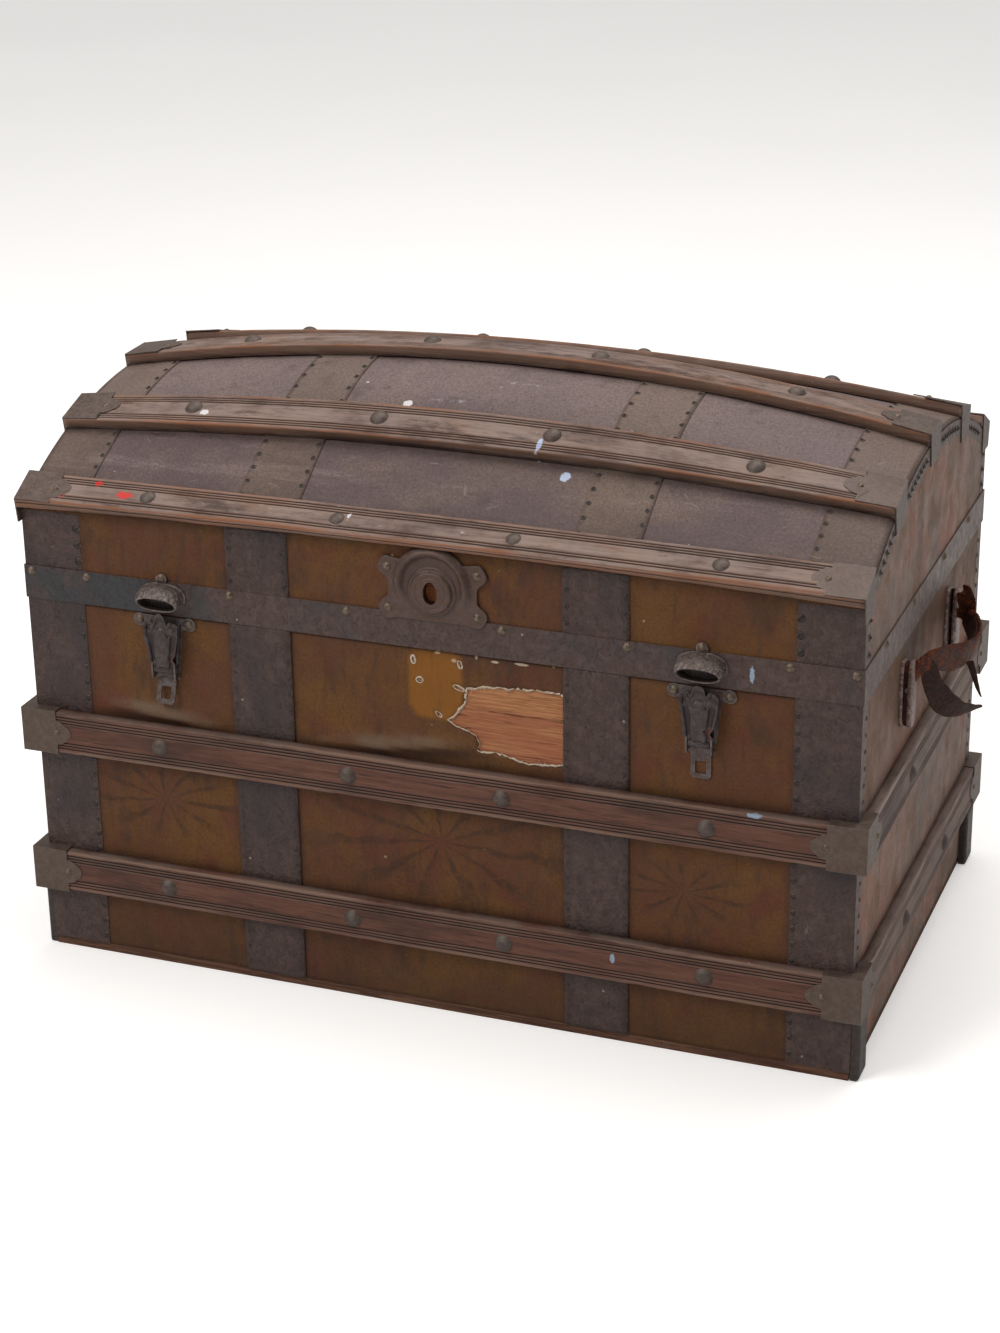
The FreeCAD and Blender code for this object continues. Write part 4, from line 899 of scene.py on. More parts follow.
def curved_slats():
    """The slats that run along the roof."""
    profile = slat_profile(SLAT_WIDTH, SLAT_THICK)
    stations = np.linspace(-ROOF_SLAT_END, ROOF_SLAT_END, ROOF_STATIONS)
    for k, y in enumerate(ROOF_SLAT_Y, start=1):
        point, normal = roof_frame(stations, y)
        across = np.stack([np.zeros(len(stations)), normal[:, 2], -normal[:, 1]], -1)
        foot = point + normal * ROOF_SLAT_LIFT
        foot[:, 0] = stations
        rings = (foot[:, None, :] + across[:, None, :] * profile[None, :, 0, None]
                 + normal[:, None, :] * profile[None, :, 1, None])
        add_slat("slat_roof_%d" % k, "lid", rings, profile, 200 + 20 * k, WOOD_ROOF, ["roof_slat_%d" % k])


def edge_slats():
    """The front and back slats at the foot of the roof, whose lower lip has bowed up."""
    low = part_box("front_edge_slat")[0]
    inner = HALF_D - EDGE_INNER
    rise = np.array([-math.sin(EDGE_SLOPE), math.cos(EDGE_SLOPE)]) * SLAT_THICK
    for side, sign in (("front", -1), ("back", 1)):
        rings = []
        for x in np.linspace(-ROOF_SLAT_END, ROOF_SLAT_END, ROOF_STATIONS):
            heel = np.array([-inner, roof_z(x, inner) + ROOF_SLAT_LIFT])
            toe = np.array([low.y, low.z + lip_rise(x)])
            lip = np.array([low.y, low.z + EDGE_LIP + 0.45 * lip_rise(x)])
            rows = edge_profile((toe, lip, heel + rise, heel))
            rings.append([(x, -sign * point[0], point[1]) for point, _, _ in rows])
        profile = np.array([(0, 0, groove, arris) for _, groove, arris in rows])
        add_slat("slat_roof_%s_edge" % side, "lid", np.array(rings), profile, 400 + 30 * (sign + 1),
                 WOOD_ROOF, ["%s_edge_slat" % side])


# ---- canvas ---------------------------------------------------------------------------------------
def point_in_polygon(points, polygon):
    inside = np.zeros(len(points), bool)
    x, z = points[:, 0], points[:, 1]
    for (x0, z0), (x1, z1) in zip(polygon, np.roll(polygon, -1, axis=0)):
        crosses = (z0 > z) != (z1 > z)
        with np.errstate(divide="ignore", invalid="ignore"):
            inside ^= crosses & (x < (x1 - x0) * (z - z0) / (z1 - z0) + x0)
    return inside


def ragged(outline, seed, step=2.2 * MM, depth=1.1 * MM):
    """A closed outline resampled finely and roughened like torn cloth."""
    points = []
    for a, b in zip(outline, np.roll(outline, -1, axis=0)):
        count = max(1, int(np.linalg.norm(b - a) / step))
        points += [a + (b - a) * k / count for k in range(count)]
    points = np.array(points)
    flat = np.c_[points, np.zeros(len(points))]
    shift = jitter(flat, 7 * MM, seed) + 0.6 * jitter(flat, 2.5 * MM, seed + 2)
    return points + depth * shift[:, :2]


TEAR = np.array([(44, 358), (67, 363), (90, 364), (121, 367), (139, 365), (145, 361), (143, 330), (144, 292),
                 (122, 290), (108, 288), (95, 290), (80, 294), (53, 295), (55, 303), (52, 310), (45, 313),
                 (30, 318), (23, 323), (33, 331), (40, 341)]) * MM
# centre, half sizes and turn of each hole that the lost lock's fasteners left
NAIL_HOLES = [((-12, 382), 2.4, 5.0, 0.1), ((-6, 361), 4.6, 4.2, 0.0), ((36, 383), 2.8, 5.4, 0.25),
              ((34, 358), 8.2, 2.8, -0.35), ((13, 328), 5.0, 2.6, -0.6)]
PATCH_CENTRE = (11 * MM, 359 * MM)
PATCH_HALF = (28 * MM, 37 * MM)


def front_canvas_holes():
    holes = [ragged(TEAR, 31)]
    for k, ((x, z), half_x, half_z, turn) in enumerate(NAIL_HOLES):
        angle = np.linspace(0, 2 * math.pi, 16, endpoint=False)
        across, up = half_x * 0.7 * np.cos(angle), half_z * 0.7 * np.sin(angle)
        spin_x, spin_z = math.cos(turn), math.sin(turn)
        oval = np.stack([x + across * spin_x - up * spin_z, z + across * spin_z + up * spin_x], -1) * MM
        holes.append(ragged(oval, 50 + 5 * k, step=1.2 * MM, depth=0.5 * MM))
    return holes


FOLDS = ((-362, -212, 288, -0.05, 5.4), (-142, 72, 291, 0.13, 5.0))


def fold_height(x, z):
    """Sag of the loose canvas just above the upper slat: one long fold in each of two panels."""
    flat = np.c_[x, np.zeros(len(x)), z]
    height = np.zeros(len(x))
    for x0, x1, crest, slope, rise in FOLDS:
        middle = (x0 + x1) / 2
        reach = (x1 - x0) / 2
        share = np.clip(np.abs(x / MM - middle) / reach, 0, 1)
        waver = 2.5 * MM * noise(flat * np.array([1, 0, 0]), 45 * MM, 8)
        crest_z = (crest + slope * (x / MM - middle)) * MM + waver
        above = np.exp(-(np.maximum(0, z - crest_z) / (11 * MM)) ** 2)
        below = np.exp(-(np.maximum(0, crest_z - z) / (7 * MM)) ** 2)
        wave = 1 + 0.3 * noise(flat * np.array([0.4, 1, 1.5]), 16 * MM, 9)
        height += rise * MM * (1 - share ** 3) * above * below * wave
    return height


def canvas_lift(x, z):
    """How far the loose canvas stands off the boards, in metres."""
    flat = np.c_[x, np.zeros(len(x)), z]
    lift = 0.25 * MM * noise(flat, 60 * MM, 3) + 0.12 * MM * noise(flat, 14 * MM, 5) + fold_height(x, z)
    lift *= 1 - 0.85 * (ramp01(np.abs(x), STRIP_INNER - 3 * MM, STRIP_INNER)
                        * (1 - ramp01(np.abs(x), STRIP_OUTER, STRIP_OUTER + 3 * MM)))
    lift *= 1 - 0.85 * ramp01(np.abs(x), CORNER_INNER - 3 * MM, CORNER_INNER)
    return lift


def front_grime_and_shade(flat):
    """Darker low on the front and against the strips, with painted shade under and over the slats and along
    the seam; flat holds (x, z).
    """
    x, z = np.abs(flat[:, 0]), flat[:, 1]
    darkening = 0.5 * (1 - ramp01(z, WALL_LOW, SLAT_LOW[0].z + 10 * MM))
    for low in (SLAT_LOW, SLAT_HIGH):
        darkening = np.maximum(darkening, 0.7 * bell(z, low[0].z - 1 * MM, 5 * MM))
        darkening = np.maximum(darkening, 0.6 * bell(z, low[1].z + 1 * MM, 6 * MM))
    for edge in (STRIP_INNER, STRIP_OUTER, CORNER_INNER):
        darkening = np.maximum(darkening, 0.6 * bell(x, edge, 4 * MM))
    darkening = np.maximum(darkening, 0.5 * bell(z, SEAM_Z, 7 * MM))
    return darkening * (0.75 + 0.25 * noise(np.c_[flat, np.zeros(len(flat))], 12 * MM, 61))


def cut_sheet(grid, holes):
    """Points and faces of a flat sheet with holes, meshed between a grid and the holes' outlines."""
    keep = np.ones(len(grid), bool)
    for hole in holes:
        centre = hole.mean(0)
        keep &= ~point_in_polygon(grid, centre + (hole - centre) * 1.06)
    points = [Vector(p) for p in grid[keep]]
    edges = []
    for hole in holes:
        start = len(points)
        points += [Vector(p) for p in hole]
        edges += [(start + k, start + (k + 1) % len(hole)) for k in range(len(hole))]
    found, _, faces, _, _, _ = delaunay_2d_cdt(points, edges, [], 0, 1e-6)
    flat = np.array([(v.x, v.y) for v in found])
    centres = np.array([flat[list(f)].mean(0) for f in faces])
    gone = np.zeros(len(faces), bool)
    for hole in holes:
        gone |= point_in_polygon(centres, hole)
    return flat, [f for f, out in zip(faces, gone) if not out]


def torn_curl(flat, holes):
    """How far the canvas curls up beside its torn edges, in metres."""
    curl = np.zeros(len(flat))
    for hole in holes:
        reach = np.min(np.linalg.norm(flat[:, None, :] - hole[None, ::3, :], axis=2), axis=1)
        curl = np.maximum(curl, np.exp(-reach / (2.5 * MM)))
    return curl * (0.6 + 0.5 * noise(np.c_[flat, np.zeros(len(flat))], 9 * MM, 77)) * MM


def front_canvas():
    """Canvas on the base's front: torn open beside the lost lock, loose above the upper slat."""
    holes = front_canvas_holes()
    step = 5 * MM
    xs = np.linspace(-HALF_L, HALF_L, int(2 * HALF_L / step) + 1)
    zs = np.linspace(WALL_LOW, WALL_HIGH, int((WALL_HIGH - WALL_LOW) / step) + 1)
    flat, faces = cut_sheet(np.stack(np.meshgrid(xs, zs), -1).reshape(-1, 2), holes)
    x, z = flat.T
    lift = canvas_lift(x, z) + torn_curl(flat, holes)
    verts = np.c_[x, -HALF_D - np.maximum(lift, -0.05 * MM), z]
    dx, dz = (np.abs(flat - PATCH_CENTRE) / PATCH_HALF).T
    patch = 1 - ramp01((dx ** 5 + dz ** 4) ** 0.2, 0.96, 1.04)
    # Painted highlight along each fold's crest and painted shade just under it.
    crease = fold_height(x, z) / MM
    under = fold_height(x, z + 11 * MM) / MM
    rubbed = np.clip((crease - 2.0) / 3.0, 0, 0.7)
    grime = np.maximum(front_grime_and_shade(flat), np.clip((under - crease) / 3.0, 0, 0.85))
    add_sheet("canvas_front", "base", verts, faces, CANVAS, ["front_canvas"], "canvas",
              {"patch": patch, "grime": grime, "rubbed": rubbed}, thickness=SHEET)
    frayed_edges(holes)


def frayed_edges(holes):
    """Pale torn backing round each hole, with loose threads, as one closed mesh."""
    parts = []
    rng = np.random.default_rng(7)
    for hole in holes:
        size = len(hole)
        centre = hole.mean(0)
        tangent = np.roll(hole, -1, axis=0) - np.roll(hole, 1, axis=0)
        tangent /= np.linalg.norm(tangent, axis=1, keepdims=True) + 1e-9
        side = np.stack([tangent[:, 1], -tangent[:, 0]], -1)
        outward = np.sign(np.sum(side * (hole - centre), axis=1, keepdims=True))
        side *= np.where(outward == 0, 1, outward)
        flat = np.c_[hole, np.zeros(size)]
        width = (1.35 + 0.8 * noise(flat, 6 * MM, 91)) * MM
        raised = (1.0 + 0.6 * noise(flat, 8 * MM, 92)) * MM
        if size < 40:
            width = width * 0.8
        ring = np.empty((size, 6, 3))
        for j, (reach, out) in enumerate(((-0.35, 0.0), (-0.5, 0.55), (-0.2, 1.0), (0.35, 1.05), (0.9, 0.75),
                                          (1.0, 0.1))):
            spot = hole + side * (width * reach)[:, None]
            ring[:, j, 0] = spot[:, 0]
            ring[:, j, 1] = -HALF_D + 0.2 * MM - raised * out
            ring[:, j, 2] = spot[:, 1]
        closed = np.concatenate([ring, ring[:1]])
        faces = grid_faces(size + 1, 6, wrap=True) % (size * 6)
        parts.append((closed[:-1].reshape(-1, 3), faces))
        for _ in range(size // 3):
            k = rng.integers(size)
            parts.append(thread(hole[k], -side[k], rng))
    verts, faces = joined(parts)
    add_mesh("frayed_canvas_edges", "base", verts, faces, FRAYED, slot="canvas")


def thread(start, direction, rng):
    """A short loose thread from a torn edge, as a thin three-sided tube."""
    length = rng.uniform(1.5, 5.0) * MM
    bend = rng.normal(0, 0.6, 2)
    radius = 0.16 * MM
    rings = []
    for t in np.linspace(0, 1, 6):
        aim = direction + bend * t
        spot = start + aim / (np.linalg.norm(aim) + 1e-9) * length * t
        out = HALF_D + (0.5 + 0.9 * t * (1 - t) * 4) * MM
        ring = [(spot[0] + radius * math.cos(a), -out - radius * math.sin(a),
                 spot[1] + radius * math.sin(a + 1)) for a in (0, 2.1, 4.2)]
        rings.append(ring)
    return lofted(np.array(rings))


def wall_grid(name, body, face, box, material, replaces, follow_lip=False):
    """A canvas panel on a flat wall: face is ('y', -1) for the front, ('x', 1) for the right end."""
    axis, sign = face
    across = 0 if axis == "y" else 1
    low, high = box
    us = np.append(np.arange(low[across], high[across], 6 * MM), high[across])
    vs = np.append(np.arange(low.z, high.z, 6 * MM), high.z)
    u, v = flat_grid(us, vs)
    flat = np.c_[u, np.full(u.size, sign * 1.0), v]
    lift = np.clip(0.3 * noise(flat, 55 * MM, 21) + 0.12 * noise(flat, 13 * MM, 22), -0.2, 0.08) * MM
    verts = np.empty((u.size, 3))
    verts[:, across] = u
    verts[:, 1 - across] = sign * ((HALF_D if axis == "y" else HALF_L) + lift)
    verts[:, 2] = v
    if follow_lip:
        verts[:, 2] += (v - low.z) / (high.z - low.z) * lip_rise(u)
    faces = grid_faces(len(us), len(vs))
    if (sign > 0) == (axis == "y"):
        faces = faces[:, ::-1]
    zero = np.zeros(u.size)
    if axis == "x":
        patch = ramp01(v, SLAT_HIGH[1].z - 20 * MM, SEAM_Z - 30 * MM)
        patch *= 0.65 + 0.35 * noise(flat, 60 * MM, 27)
        grime = zero
    else:
        patch = zero
        # Darker towards the bottom of the base, and painted shade by the slats and the seam.
        low_darkening = 0.4 * (1 - ramp01(v, low.z, low.z + 60 * MM)) if body == "base" else zero
        grime = np.maximum(low_darkening, front_grime_and_shade(np.c_[u, v]))
    add_sheet(name, body, verts, faces, material, replaces, "canvas",
              {"patch": patch, "grime": grime, "rubbed": zero})


def lid_end_canvas(side, sign, low):
    """Canvas on one end of the lid, which follows the roof's arc."""
    ys = np.linspace(-HALF_D + 1 * MM, HALF_D - 1 * MM, 90)
    shares = np.linspace(0, 1, 30)
    y, share = flat_grid(ys, shares)
    top = roof_z(HALF_L, y) - 1.2 * MM
    z = low + (top - low) * share
    flat = np.c_[y, np.full(y.size, sign), z]
    lift = np.clip(0.3 * noise(flat, 50 * MM, 25) + 0.1 * noise(flat, 12 * MM, 26), -0.2, 0.08) * MM
    faces = grid_faces(len(ys), len(shares))
    zero = np.zeros(y.size)
    add_sheet("canvas_lid_%s_end" % side, "lid", np.c_[sign * (HALF_L + lift), y, z],
              faces if sign > 0 else faces[:, ::-1], END_CANVAS, slot="canvas",
              attributes={"patch": zero, "grime": zero, "rubbed": zero})


def lid_canvas():
    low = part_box("lid_canvas")[0].z
    for side, sign in (("front", -1), ("back", 1)):
        box = (Vector((-HALF_L, 0, low)), Vector((HALF_L, 0, ROOF_FOOT - 2 * MM)))
        replaced = ["lid_canvas"] if sign < 0 else []
        wall_grid("canvas_lid_%s" % side, "lid", ("y", sign), box, CANVAS, replaced, follow_lip=True)
    for side, sign in (("right", 1), ("left", -1)):
        lid_end_canvas(side, sign, low)


# ---- roof sheet and strips -------------------------------------------------------------------------
def roof_sheet(name, x0, x1, lift, material, replaces, seed, dents, margin):
    """A sheet that follows the roof, slightly rippled, with painted shade where it meets the slats."""
    xs = np.linspace(x0, x1, max(4, int((x1 - x0) / (5 * MM))))
    ys = np.linspace(margin - HALF_D, HALF_D - margin, 130)
    x, y = flat_grid(xs, ys)
    point, normal = roof_frame(x, y)
    ripple = 0.3 * noise(point, 75 * MM, seed) + 0.15 * noise(point, 22 * MM, seed + 1)
    verts = point + normal * (lift + np.clip(ripple, -0.45, 0.25) * MM * dents)[:, None]
    # Painted shade beside the slats and the edge slats.
    edges = [-HALF_D + 10 * MM] + ROOF_SLAT_Y + [HALF_D - 10 * MM]
    near = np.min(np.abs(y[:, None] - np.array(edges)[None, :]), axis=1)
    grime = 0.75 * np.exp(-np.maximum(0, near - SLAT_WIDTH / 2) / (5 * MM))
    grime *= 0.6 + 0.4 * noise(point, 18 * MM, 5)
    add_sheet(name, "lid", verts, grid_faces(len(xs), len(ys)), material, replaces, "sheet_iron",
              {"grime": grime})


def roof():
    roof_sheet("roof_sheet", -HALF_L, HALF_L, 0.0, ROOF, ["roof_cover"], 301, 1.0, 0.5 * MM)
    strips = (("middle", STRIP_INNER, STRIP_OUTER, 320), ("corner", CORNER_INNER, HALF_L, 327))
    for kind, x0, x1, seed in strips:
        for side, sign in (("right", 1), ("left", -1)):
            ends = sorted((sign * x0, sign * x1))
            replaced = ["lid_strips"] if (kind, side) == ("middle", "right") else []
            roof_sheet("roof_strip_%s_%s" % (kind, side), ends[0], ends[1], 1.05 * MM, ROOF_STRIP, replaced,
                       seed + sign, 0.25, 2.0 * MM)


def wall_strip(name, body, sign, turn, z0, z1, replaces=()):
    """A middle strip on the front or back, buckled a little between its tacks."""
    us = np.linspace(STRIP_INNER, STRIP_OUTER, 15)
    vs = np.linspace(z0, z1, max(8, int((z1 - z0) / (4 * MM))))
    u, v = flat_grid(us, vs)
    flat = np.c_[turn * u, np.full(u.size, sign), v]
    edge = np.abs(u - (STRIP_INNER + STRIP_OUTER) / 2) / ((STRIP_OUTER - STRIP_INNER) / 2)
    scallop = 0.25 * MM * ramp01(edge, 0.8, 1.0) * (0.5 + 0.5 * noise(flat, 9 * MM, 41))
    lift = np.clip(0.22 * noise(flat, 30 * MM, 42) * MM + scallop, -0.1 * MM, 0.4 * MM)
    verts = np.c_[turn * u, sign * (HALF_D + STRIP_OUT + lift), v]
    faces = grid_faces(len(us), len(vs))
    # Grime along the tack lines; painted shade under and over the slats.
    around = np.min(np.abs(u[:, None] - np.array(TACK_LINES)[None, :]), axis=1)
    grime = 0.7 * bell(around, 0, 3 * MM) * (0.5 + 0.5 * noise(flat, 6 * MM, 43))
    for low, high in (SLAT_LOW, SLAT_HIGH):
        grime = np.maximum(grime, 0.7 * bell(v, low.z - 1 * MM, 5 * MM))
        grime = np.maximum(grime, 0.6 * bell(v, high.z + 1 * MM, 5 * MM))
    add_sheet(name, body, verts, faces if turn * sign < 0 else faces[:, ::-1], STRIP, replaces, "sheet_iron",
              {"grime": grime})


def wall_strips():
    lid_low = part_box("lid_canvas")[0].z
    lid_high = ROOF_FOOT - 3 * MM + lip_rise(STRIP_OUTER)
    for body, low, high in (("lid", lid_low, lid_high), ("base", WALL_LOW, WALL_HIGH)):
        for wall, sign in (("front", -1), ("back", 1)):
            for end, turn in (("right", 1), ("left", -1)):
                replaced = ["base_middle_strips"] if (body, wall, end) == ("base", "front", "right") else []
                wall_strip("strip_%s_%s_%s" % (body, wall, end), body, sign, turn, low, high, replaced)


# ---- hardware -----------------------------------------------------------------------------------------
LATCH_X = abs(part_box("left_latch_lever")[0].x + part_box("left_latch_lever")[1].x) / 2
LOCK_X = (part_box("lock_plate")[0].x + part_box("lock_plate")[1].x) / 2
LOCK_Z = (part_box("lock_plate")[0].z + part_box("lock_plate")[1].z) / 2
HOOD_Z = SEAM_Z + 20 * MM
BAND_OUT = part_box("lid_band")[1].y
LATCH_PIN_Z = SEAM_Z - 57 * MM
LEVER_OUT = 8.6 * MM
# Rivet heads on a lever, in millimetres: across, up from the seam, radius.
LEVER_BOLTS = ((-10.5, -13.0, 3.6), (10.0, -15.0, 3.8), (-9.0, -50.0, 2.4), (10.5, -40.0, 2.8))


def oval_ring(centre, half_x, half_up, lean, count=40, square=2.3):
    """Points of a rounded oval that faces outward and leans down by an angle: centre is (x, out, z)."""
    turn = np.linspace(0, 2 * math.pi, count, endpoint=False)
    across = half_x * np.sign(np.cos(turn)) * np.abs(np.cos(turn)) ** (2 / square)
    up = half_up * np.sign(np.sin(turn)) * np.abs(np.sin(turn)) ** (2 / square)
    out = centre[1] + up * math.sin(lean)
    return np.stack([centre[0] + across, -out, centre[2] + up * math.cos(lean)], -1)


# Sections of a hood from its foot, over the rim and back inside:
# out, drop, half width and half height in millimetres, then lean in radians.
HOOD_PROFILE = ((0.0, 0.0, 25.0, 14.0, 0.0), (1.0, 0.0, 25.0, 14.0, 0.0), (1.5, 0.0, 24.2, 13.6, 0.0),
                (6.0, -0.2, 24.0, 13.4, 0.0), (11.0, -0.8, 23.6, 12.6, 0.06), (14.0, -2.2, 23.0, 11.0, 0.24),
                (15.6, -3.4, 22.0, 9.8, 0.42), (16.2, -3.8, 21.2, 9.2, 0.48), (16.0, -4.0, 20.2, 8.4, 0.48),
                (14.6, -4.0, 19.8, 8.2, 0.46), (10.0, -2.6, 20.4, 9.4, 0.25), (4.0, -1.0, 21.0, 10.6, 0.0),
                (1.6, -0.6, 21.0, 11.0, 0.0))


def latch_hood(name, x, seed):
    """Pressed cup on the band whose mouth looks outward and down, with an embossed upper band."""
    foot = BAND_OUT + 0.1 * MM
    profile = np.array(HOOD_PROFILE)
    rows = np.linspace(0, len(profile) - 1, 3 * (len(profile) - 1) + 1)
    profile = np.stack([np.interp(rows, np.arange(len(profile)), profile[:, k]) for k in range(5)], -1)
    rings = np.array([oval_ring((x, foot + out * MM, HOOD_Z + drop * MM), half_x * MM, half_up * MM, lean, 96)
                      for out, drop, half_x, half_up, lean in profile])
    flat = rings.reshape(-1, 3)
    outside = np.repeat((rows > 2.2) & (rows < 6.6), rings.shape[1])
    upper = ramp01(flat[:, 2], HOOD_Z - 2 * MM, HOOD_Z + 3 * MM) * outside
    spread = np.arctan2(flat[:, 2] - HOOD_Z, flat[:, 0] - x)
    emboss = np.sin(30 * spread) * np.sin((-flat[:, 1] - foot) / MM * 1.3 + 2.0 * np.sin(9 * spread))
    centre = np.array([x, 0, HOOD_Z])
    outward = (flat - centre) * np.array([1, 0, 1])
    outward /= np.linalg.norm(outward, axis=1, keepdims=True) + 1e-9
    dent = jitter(flat, 9 * MM, seed) * 0.35 * MM
    dent[:, 1] = np.minimum(dent[:, 1], 0.1 * MM) * (flat[:, 1] < -foot - 0.5 * MM)
    relief = upper * (0.55 * emboss + 0.25 * noise(flat, 2.5 * MM, seed + 4))
    flat = flat + dent + outward * relief[:, None] * MM
    # Painted shade inside the hood's mouth; the emboss's hollows hold grime.
    inside = np.repeat(ramp01(rows, 8.2, 9.8), rings.shape[1]) * 0.6
    hollow = np.clip(-emboss, 0, 1) * upper * 0.75
    body_mesh = lofted(flat.reshape(rings.shape))
    ear_rings = np.array([oval_ring((x, foot + out * MM, HOOD_Z + 17.6 * MM), r * MM, r * MM, 0.0, 24, 2.0)
                          for out, r in ((0.0, 6.0), (1.1, 6.0), (1.6, 5.3))])
    verts, faces = joined([body_mesh, lofted(ear_rings)])
    grime = np.concatenate([np.maximum(inside, hollow), np.zeros(len(verts) - len(flat))])
    replaced = ["latch_hoods"] if x < 0 else []
    add_mesh(name, "lid", verts, faces, HOOD_IRON, replaced, "pressed_iron",
             {"grime": grime, "redness": np.zeros(len(verts))})


def lever_face(side, x0, seed):
    """Pressed lever: rolled side flanges, a raised channel, and the worn hook that reached the hood."""
    us = np.linspace(-1, 1, 61)
    vs = np.linspace(0, 1, 71)
    u, v = flat_grid(us, vs)
    flat = np.c_[u * 18, v * 50, np.zeros(u.size)] * MM
    edge_noise = noise(np.c_[us * 18, np.zeros(len(us)), np.zeros(len(us))] * MM, 5 * MM, seed)
    hook = 11.5 * bell(us, -0.05, 0.5) - 6.0 * bell(us, -0.42, 0.09) - 6.5 * bell(us, 0.36, 0.09)
    z_top = np.repeat(-7.0 + 2.0 * edge_noise + hook, len(vs))
    z = z_top + (-58.0 - z_top) * v
    half = 19.2 - 4.6 * ramp01(v, 0.12, 0.75) - 1.6 * ramp01(v, 0.80, 0.86)
    notch = bell(v, 0.72, 0.07) * ramp01(u, 0.2, 0.5)
    half = half - 3.5 * notch * (1 + 0.5 * noise(flat, 4 * MM, seed + 9))
    rolled = ramp01(np.abs(u), 0.84, 0.93) * (1 - ramp01(v, 0.80, 0.86))
    channel = (1 - ramp01(np.abs(u), 0.44, 0.52)) * ramp01(v, 0.26, 0.31) * (1 - ramp01(v, 0.90, 0.95))
    height = 2.4 * rolled + 2.2 * channel + 1.0 * bell(v, 0.2, 0.03) + 0.5 * noise(flat, 8 * MM, seed + 1)
    height += 2.4 * bell(v, 0.0, 0.10) * (1 - ramp01(np.abs(u), 0.5, 0.6)) - 3.0 * ramp01(v, 0.88, 1.0)
    verts = np.stack([x0 + u * half * MM, -(HALF_D + LEVER_OUT + height * MM), SEAM_Z + z * MM], -1)
    # Painted shade in the valleys beside the channel, under the hook and at the turned-in foot.
    valley = ramp01(np.abs(u), 0.50, 0.56) * (1 - ramp01(np.abs(u), 0.78, 0.88)) * ramp01(v, 0.2, 0.3)
    grime = np.clip(0.75 * valley + 0.7 * bell(v, 0.1, 0.05) + 0.5 * ramp01(v, 0.88, 0.94), 0, 0.85)
    redness = 0.75 * bell(v, 0.72, 0.12) * ramp01(u, 0.5, 0.75) * (0.6 + 0.6 * noise(flat, 3 * MM, seed + 3))
    add_sheet("latch_lever_%s_face" % side, "%s_latch" % side, verts, grid_faces(len(us), len(vs)),
              LEVER_IRON, ["%s_latch_lever" % side], "pressed_iron",
              {"grime": grime, "redness": np.clip(redness, 0, 1)}, thickness=1.4 * MM, offset=1.0)


def lever_bolt(x0, across, up, radius):
    """Rivet head on a lever."""
    rings = [oval_ring((x0 + across * MM, HALF_D + LEVER_OUT + (0.2 + out) * MM, SEAM_Z + up * MM),
                       radius * share * MM, radius * share * MM, 0.0, 16, 2.0)
             for out, share in ((0, 1.0), (1.2, 1.0), (2.0, 0.75), (2.3, 0.3))]
    return lofted(np.array(rings))


def lever_wing(x0, turn):
    """Stiff edge that runs down one side of a lever to its pin."""
    rings = [oval_ring((x0 + turn * (16.0 - 0.12 * k) * MM, HALF_D + (3.2 + 0.9 * k) * MM,
                        SEAM_Z - 12 * MM - 4.6 * k * MM), 1.2 * MM, 4.2 * MM, 0.0, 12, 2.6) for k in range(8)]
    return lofted(np.array(rings))


def lever_barrel(x0):
    """The lever's knuckle round its pin."""
    angles = np.linspace(0, 2 * math.pi, 20, endpoint=False)
    radius = 4.1 * MM
    rings = [[(x0 + step * MM, -(HALF_D + 7 * MM) - radius * math.cos(a), LATCH_PIN_Z + radius * math.sin(a))
              for a in angles] for step in (-10.4, -3.6, 3.6, 10.4)]
    return lofted(np.array(rings))


def latch_lever(side, sign, seed):
    x0 = sign * LATCH_X
    lever_face(side, x0, seed)
    parts = [lever_bolt(x0, *bolt) for bolt in LEVER_BOLTS]
    parts += [lever_wing(x0, -1), lever_wing(x0, 1), lever_barrel(x0)]
    verts, faces = joined(parts)
    add_mesh("latch_lever_%s_fittings" % side, "%s_latch" % side, verts, faces, LEVER_IRON,
             slot="pressed_iron")


RING_RISE = 6.0             # the raised ring's centre above the keyhole, in millimetres
EAR_ANGLE = math.atan2(21, 46)
KEYHOLE_HALF = (7.2, 11.6)


def lock_outline(angle):
    """Distance from the lock's centre to the edge of its four-lobed plate, in millimetres."""
    across, up = abs(math.cos(angle)), math.sin(angle)
    ring = RING_RISE * up + math.sqrt(40.0 ** 2 - (RING_RISE * across) ** 2)
    plate = min(45.5 / max(across, 1e-6), 30.0 / max(abs(up), 1e-6))
    reach = max(ring, plate) if up > 0 else plate
    miss = abs(abs(math.atan2(up, across)) - EAR_ANGLE) / math.radians(11.0)
    return reach + max(0.0, 60.0 - reach) * math.exp(-miss ** 4)


def lock_height(r, angle):
    """Relief of the pressed lock cover: broad outer ring, sunk step, inner disc with a fine groove."""
    lifted = np.hypot(r * math.cos(angle), r * math.sin(angle) - RING_RISE)
    fade = ramp01(math.sin(angle), -0.55, 0.35)
    ring = 6.5 * fade * np.sin(math.pi * ramp01(lifted, 27.5, 41.5)) ** 0.8
    disc = 3.6 * (1 - ramp01(r, 19.5, 22.5)) + 1.0 * (1 - np.minimum(1, r / 21) ** 2)
    step = 1.3 * (1 - ramp01(r, 24.0, 25.5))
    groove = -0.6 * bell(r, 15.5, 0.8)
    rim = 0.5 * bell(r, 9.0, 1.6)
    ear = 0.5 * ramp01(r, 46.0, 50.0)
    return 1.5 + ring + disc + step + groove + rim + ear


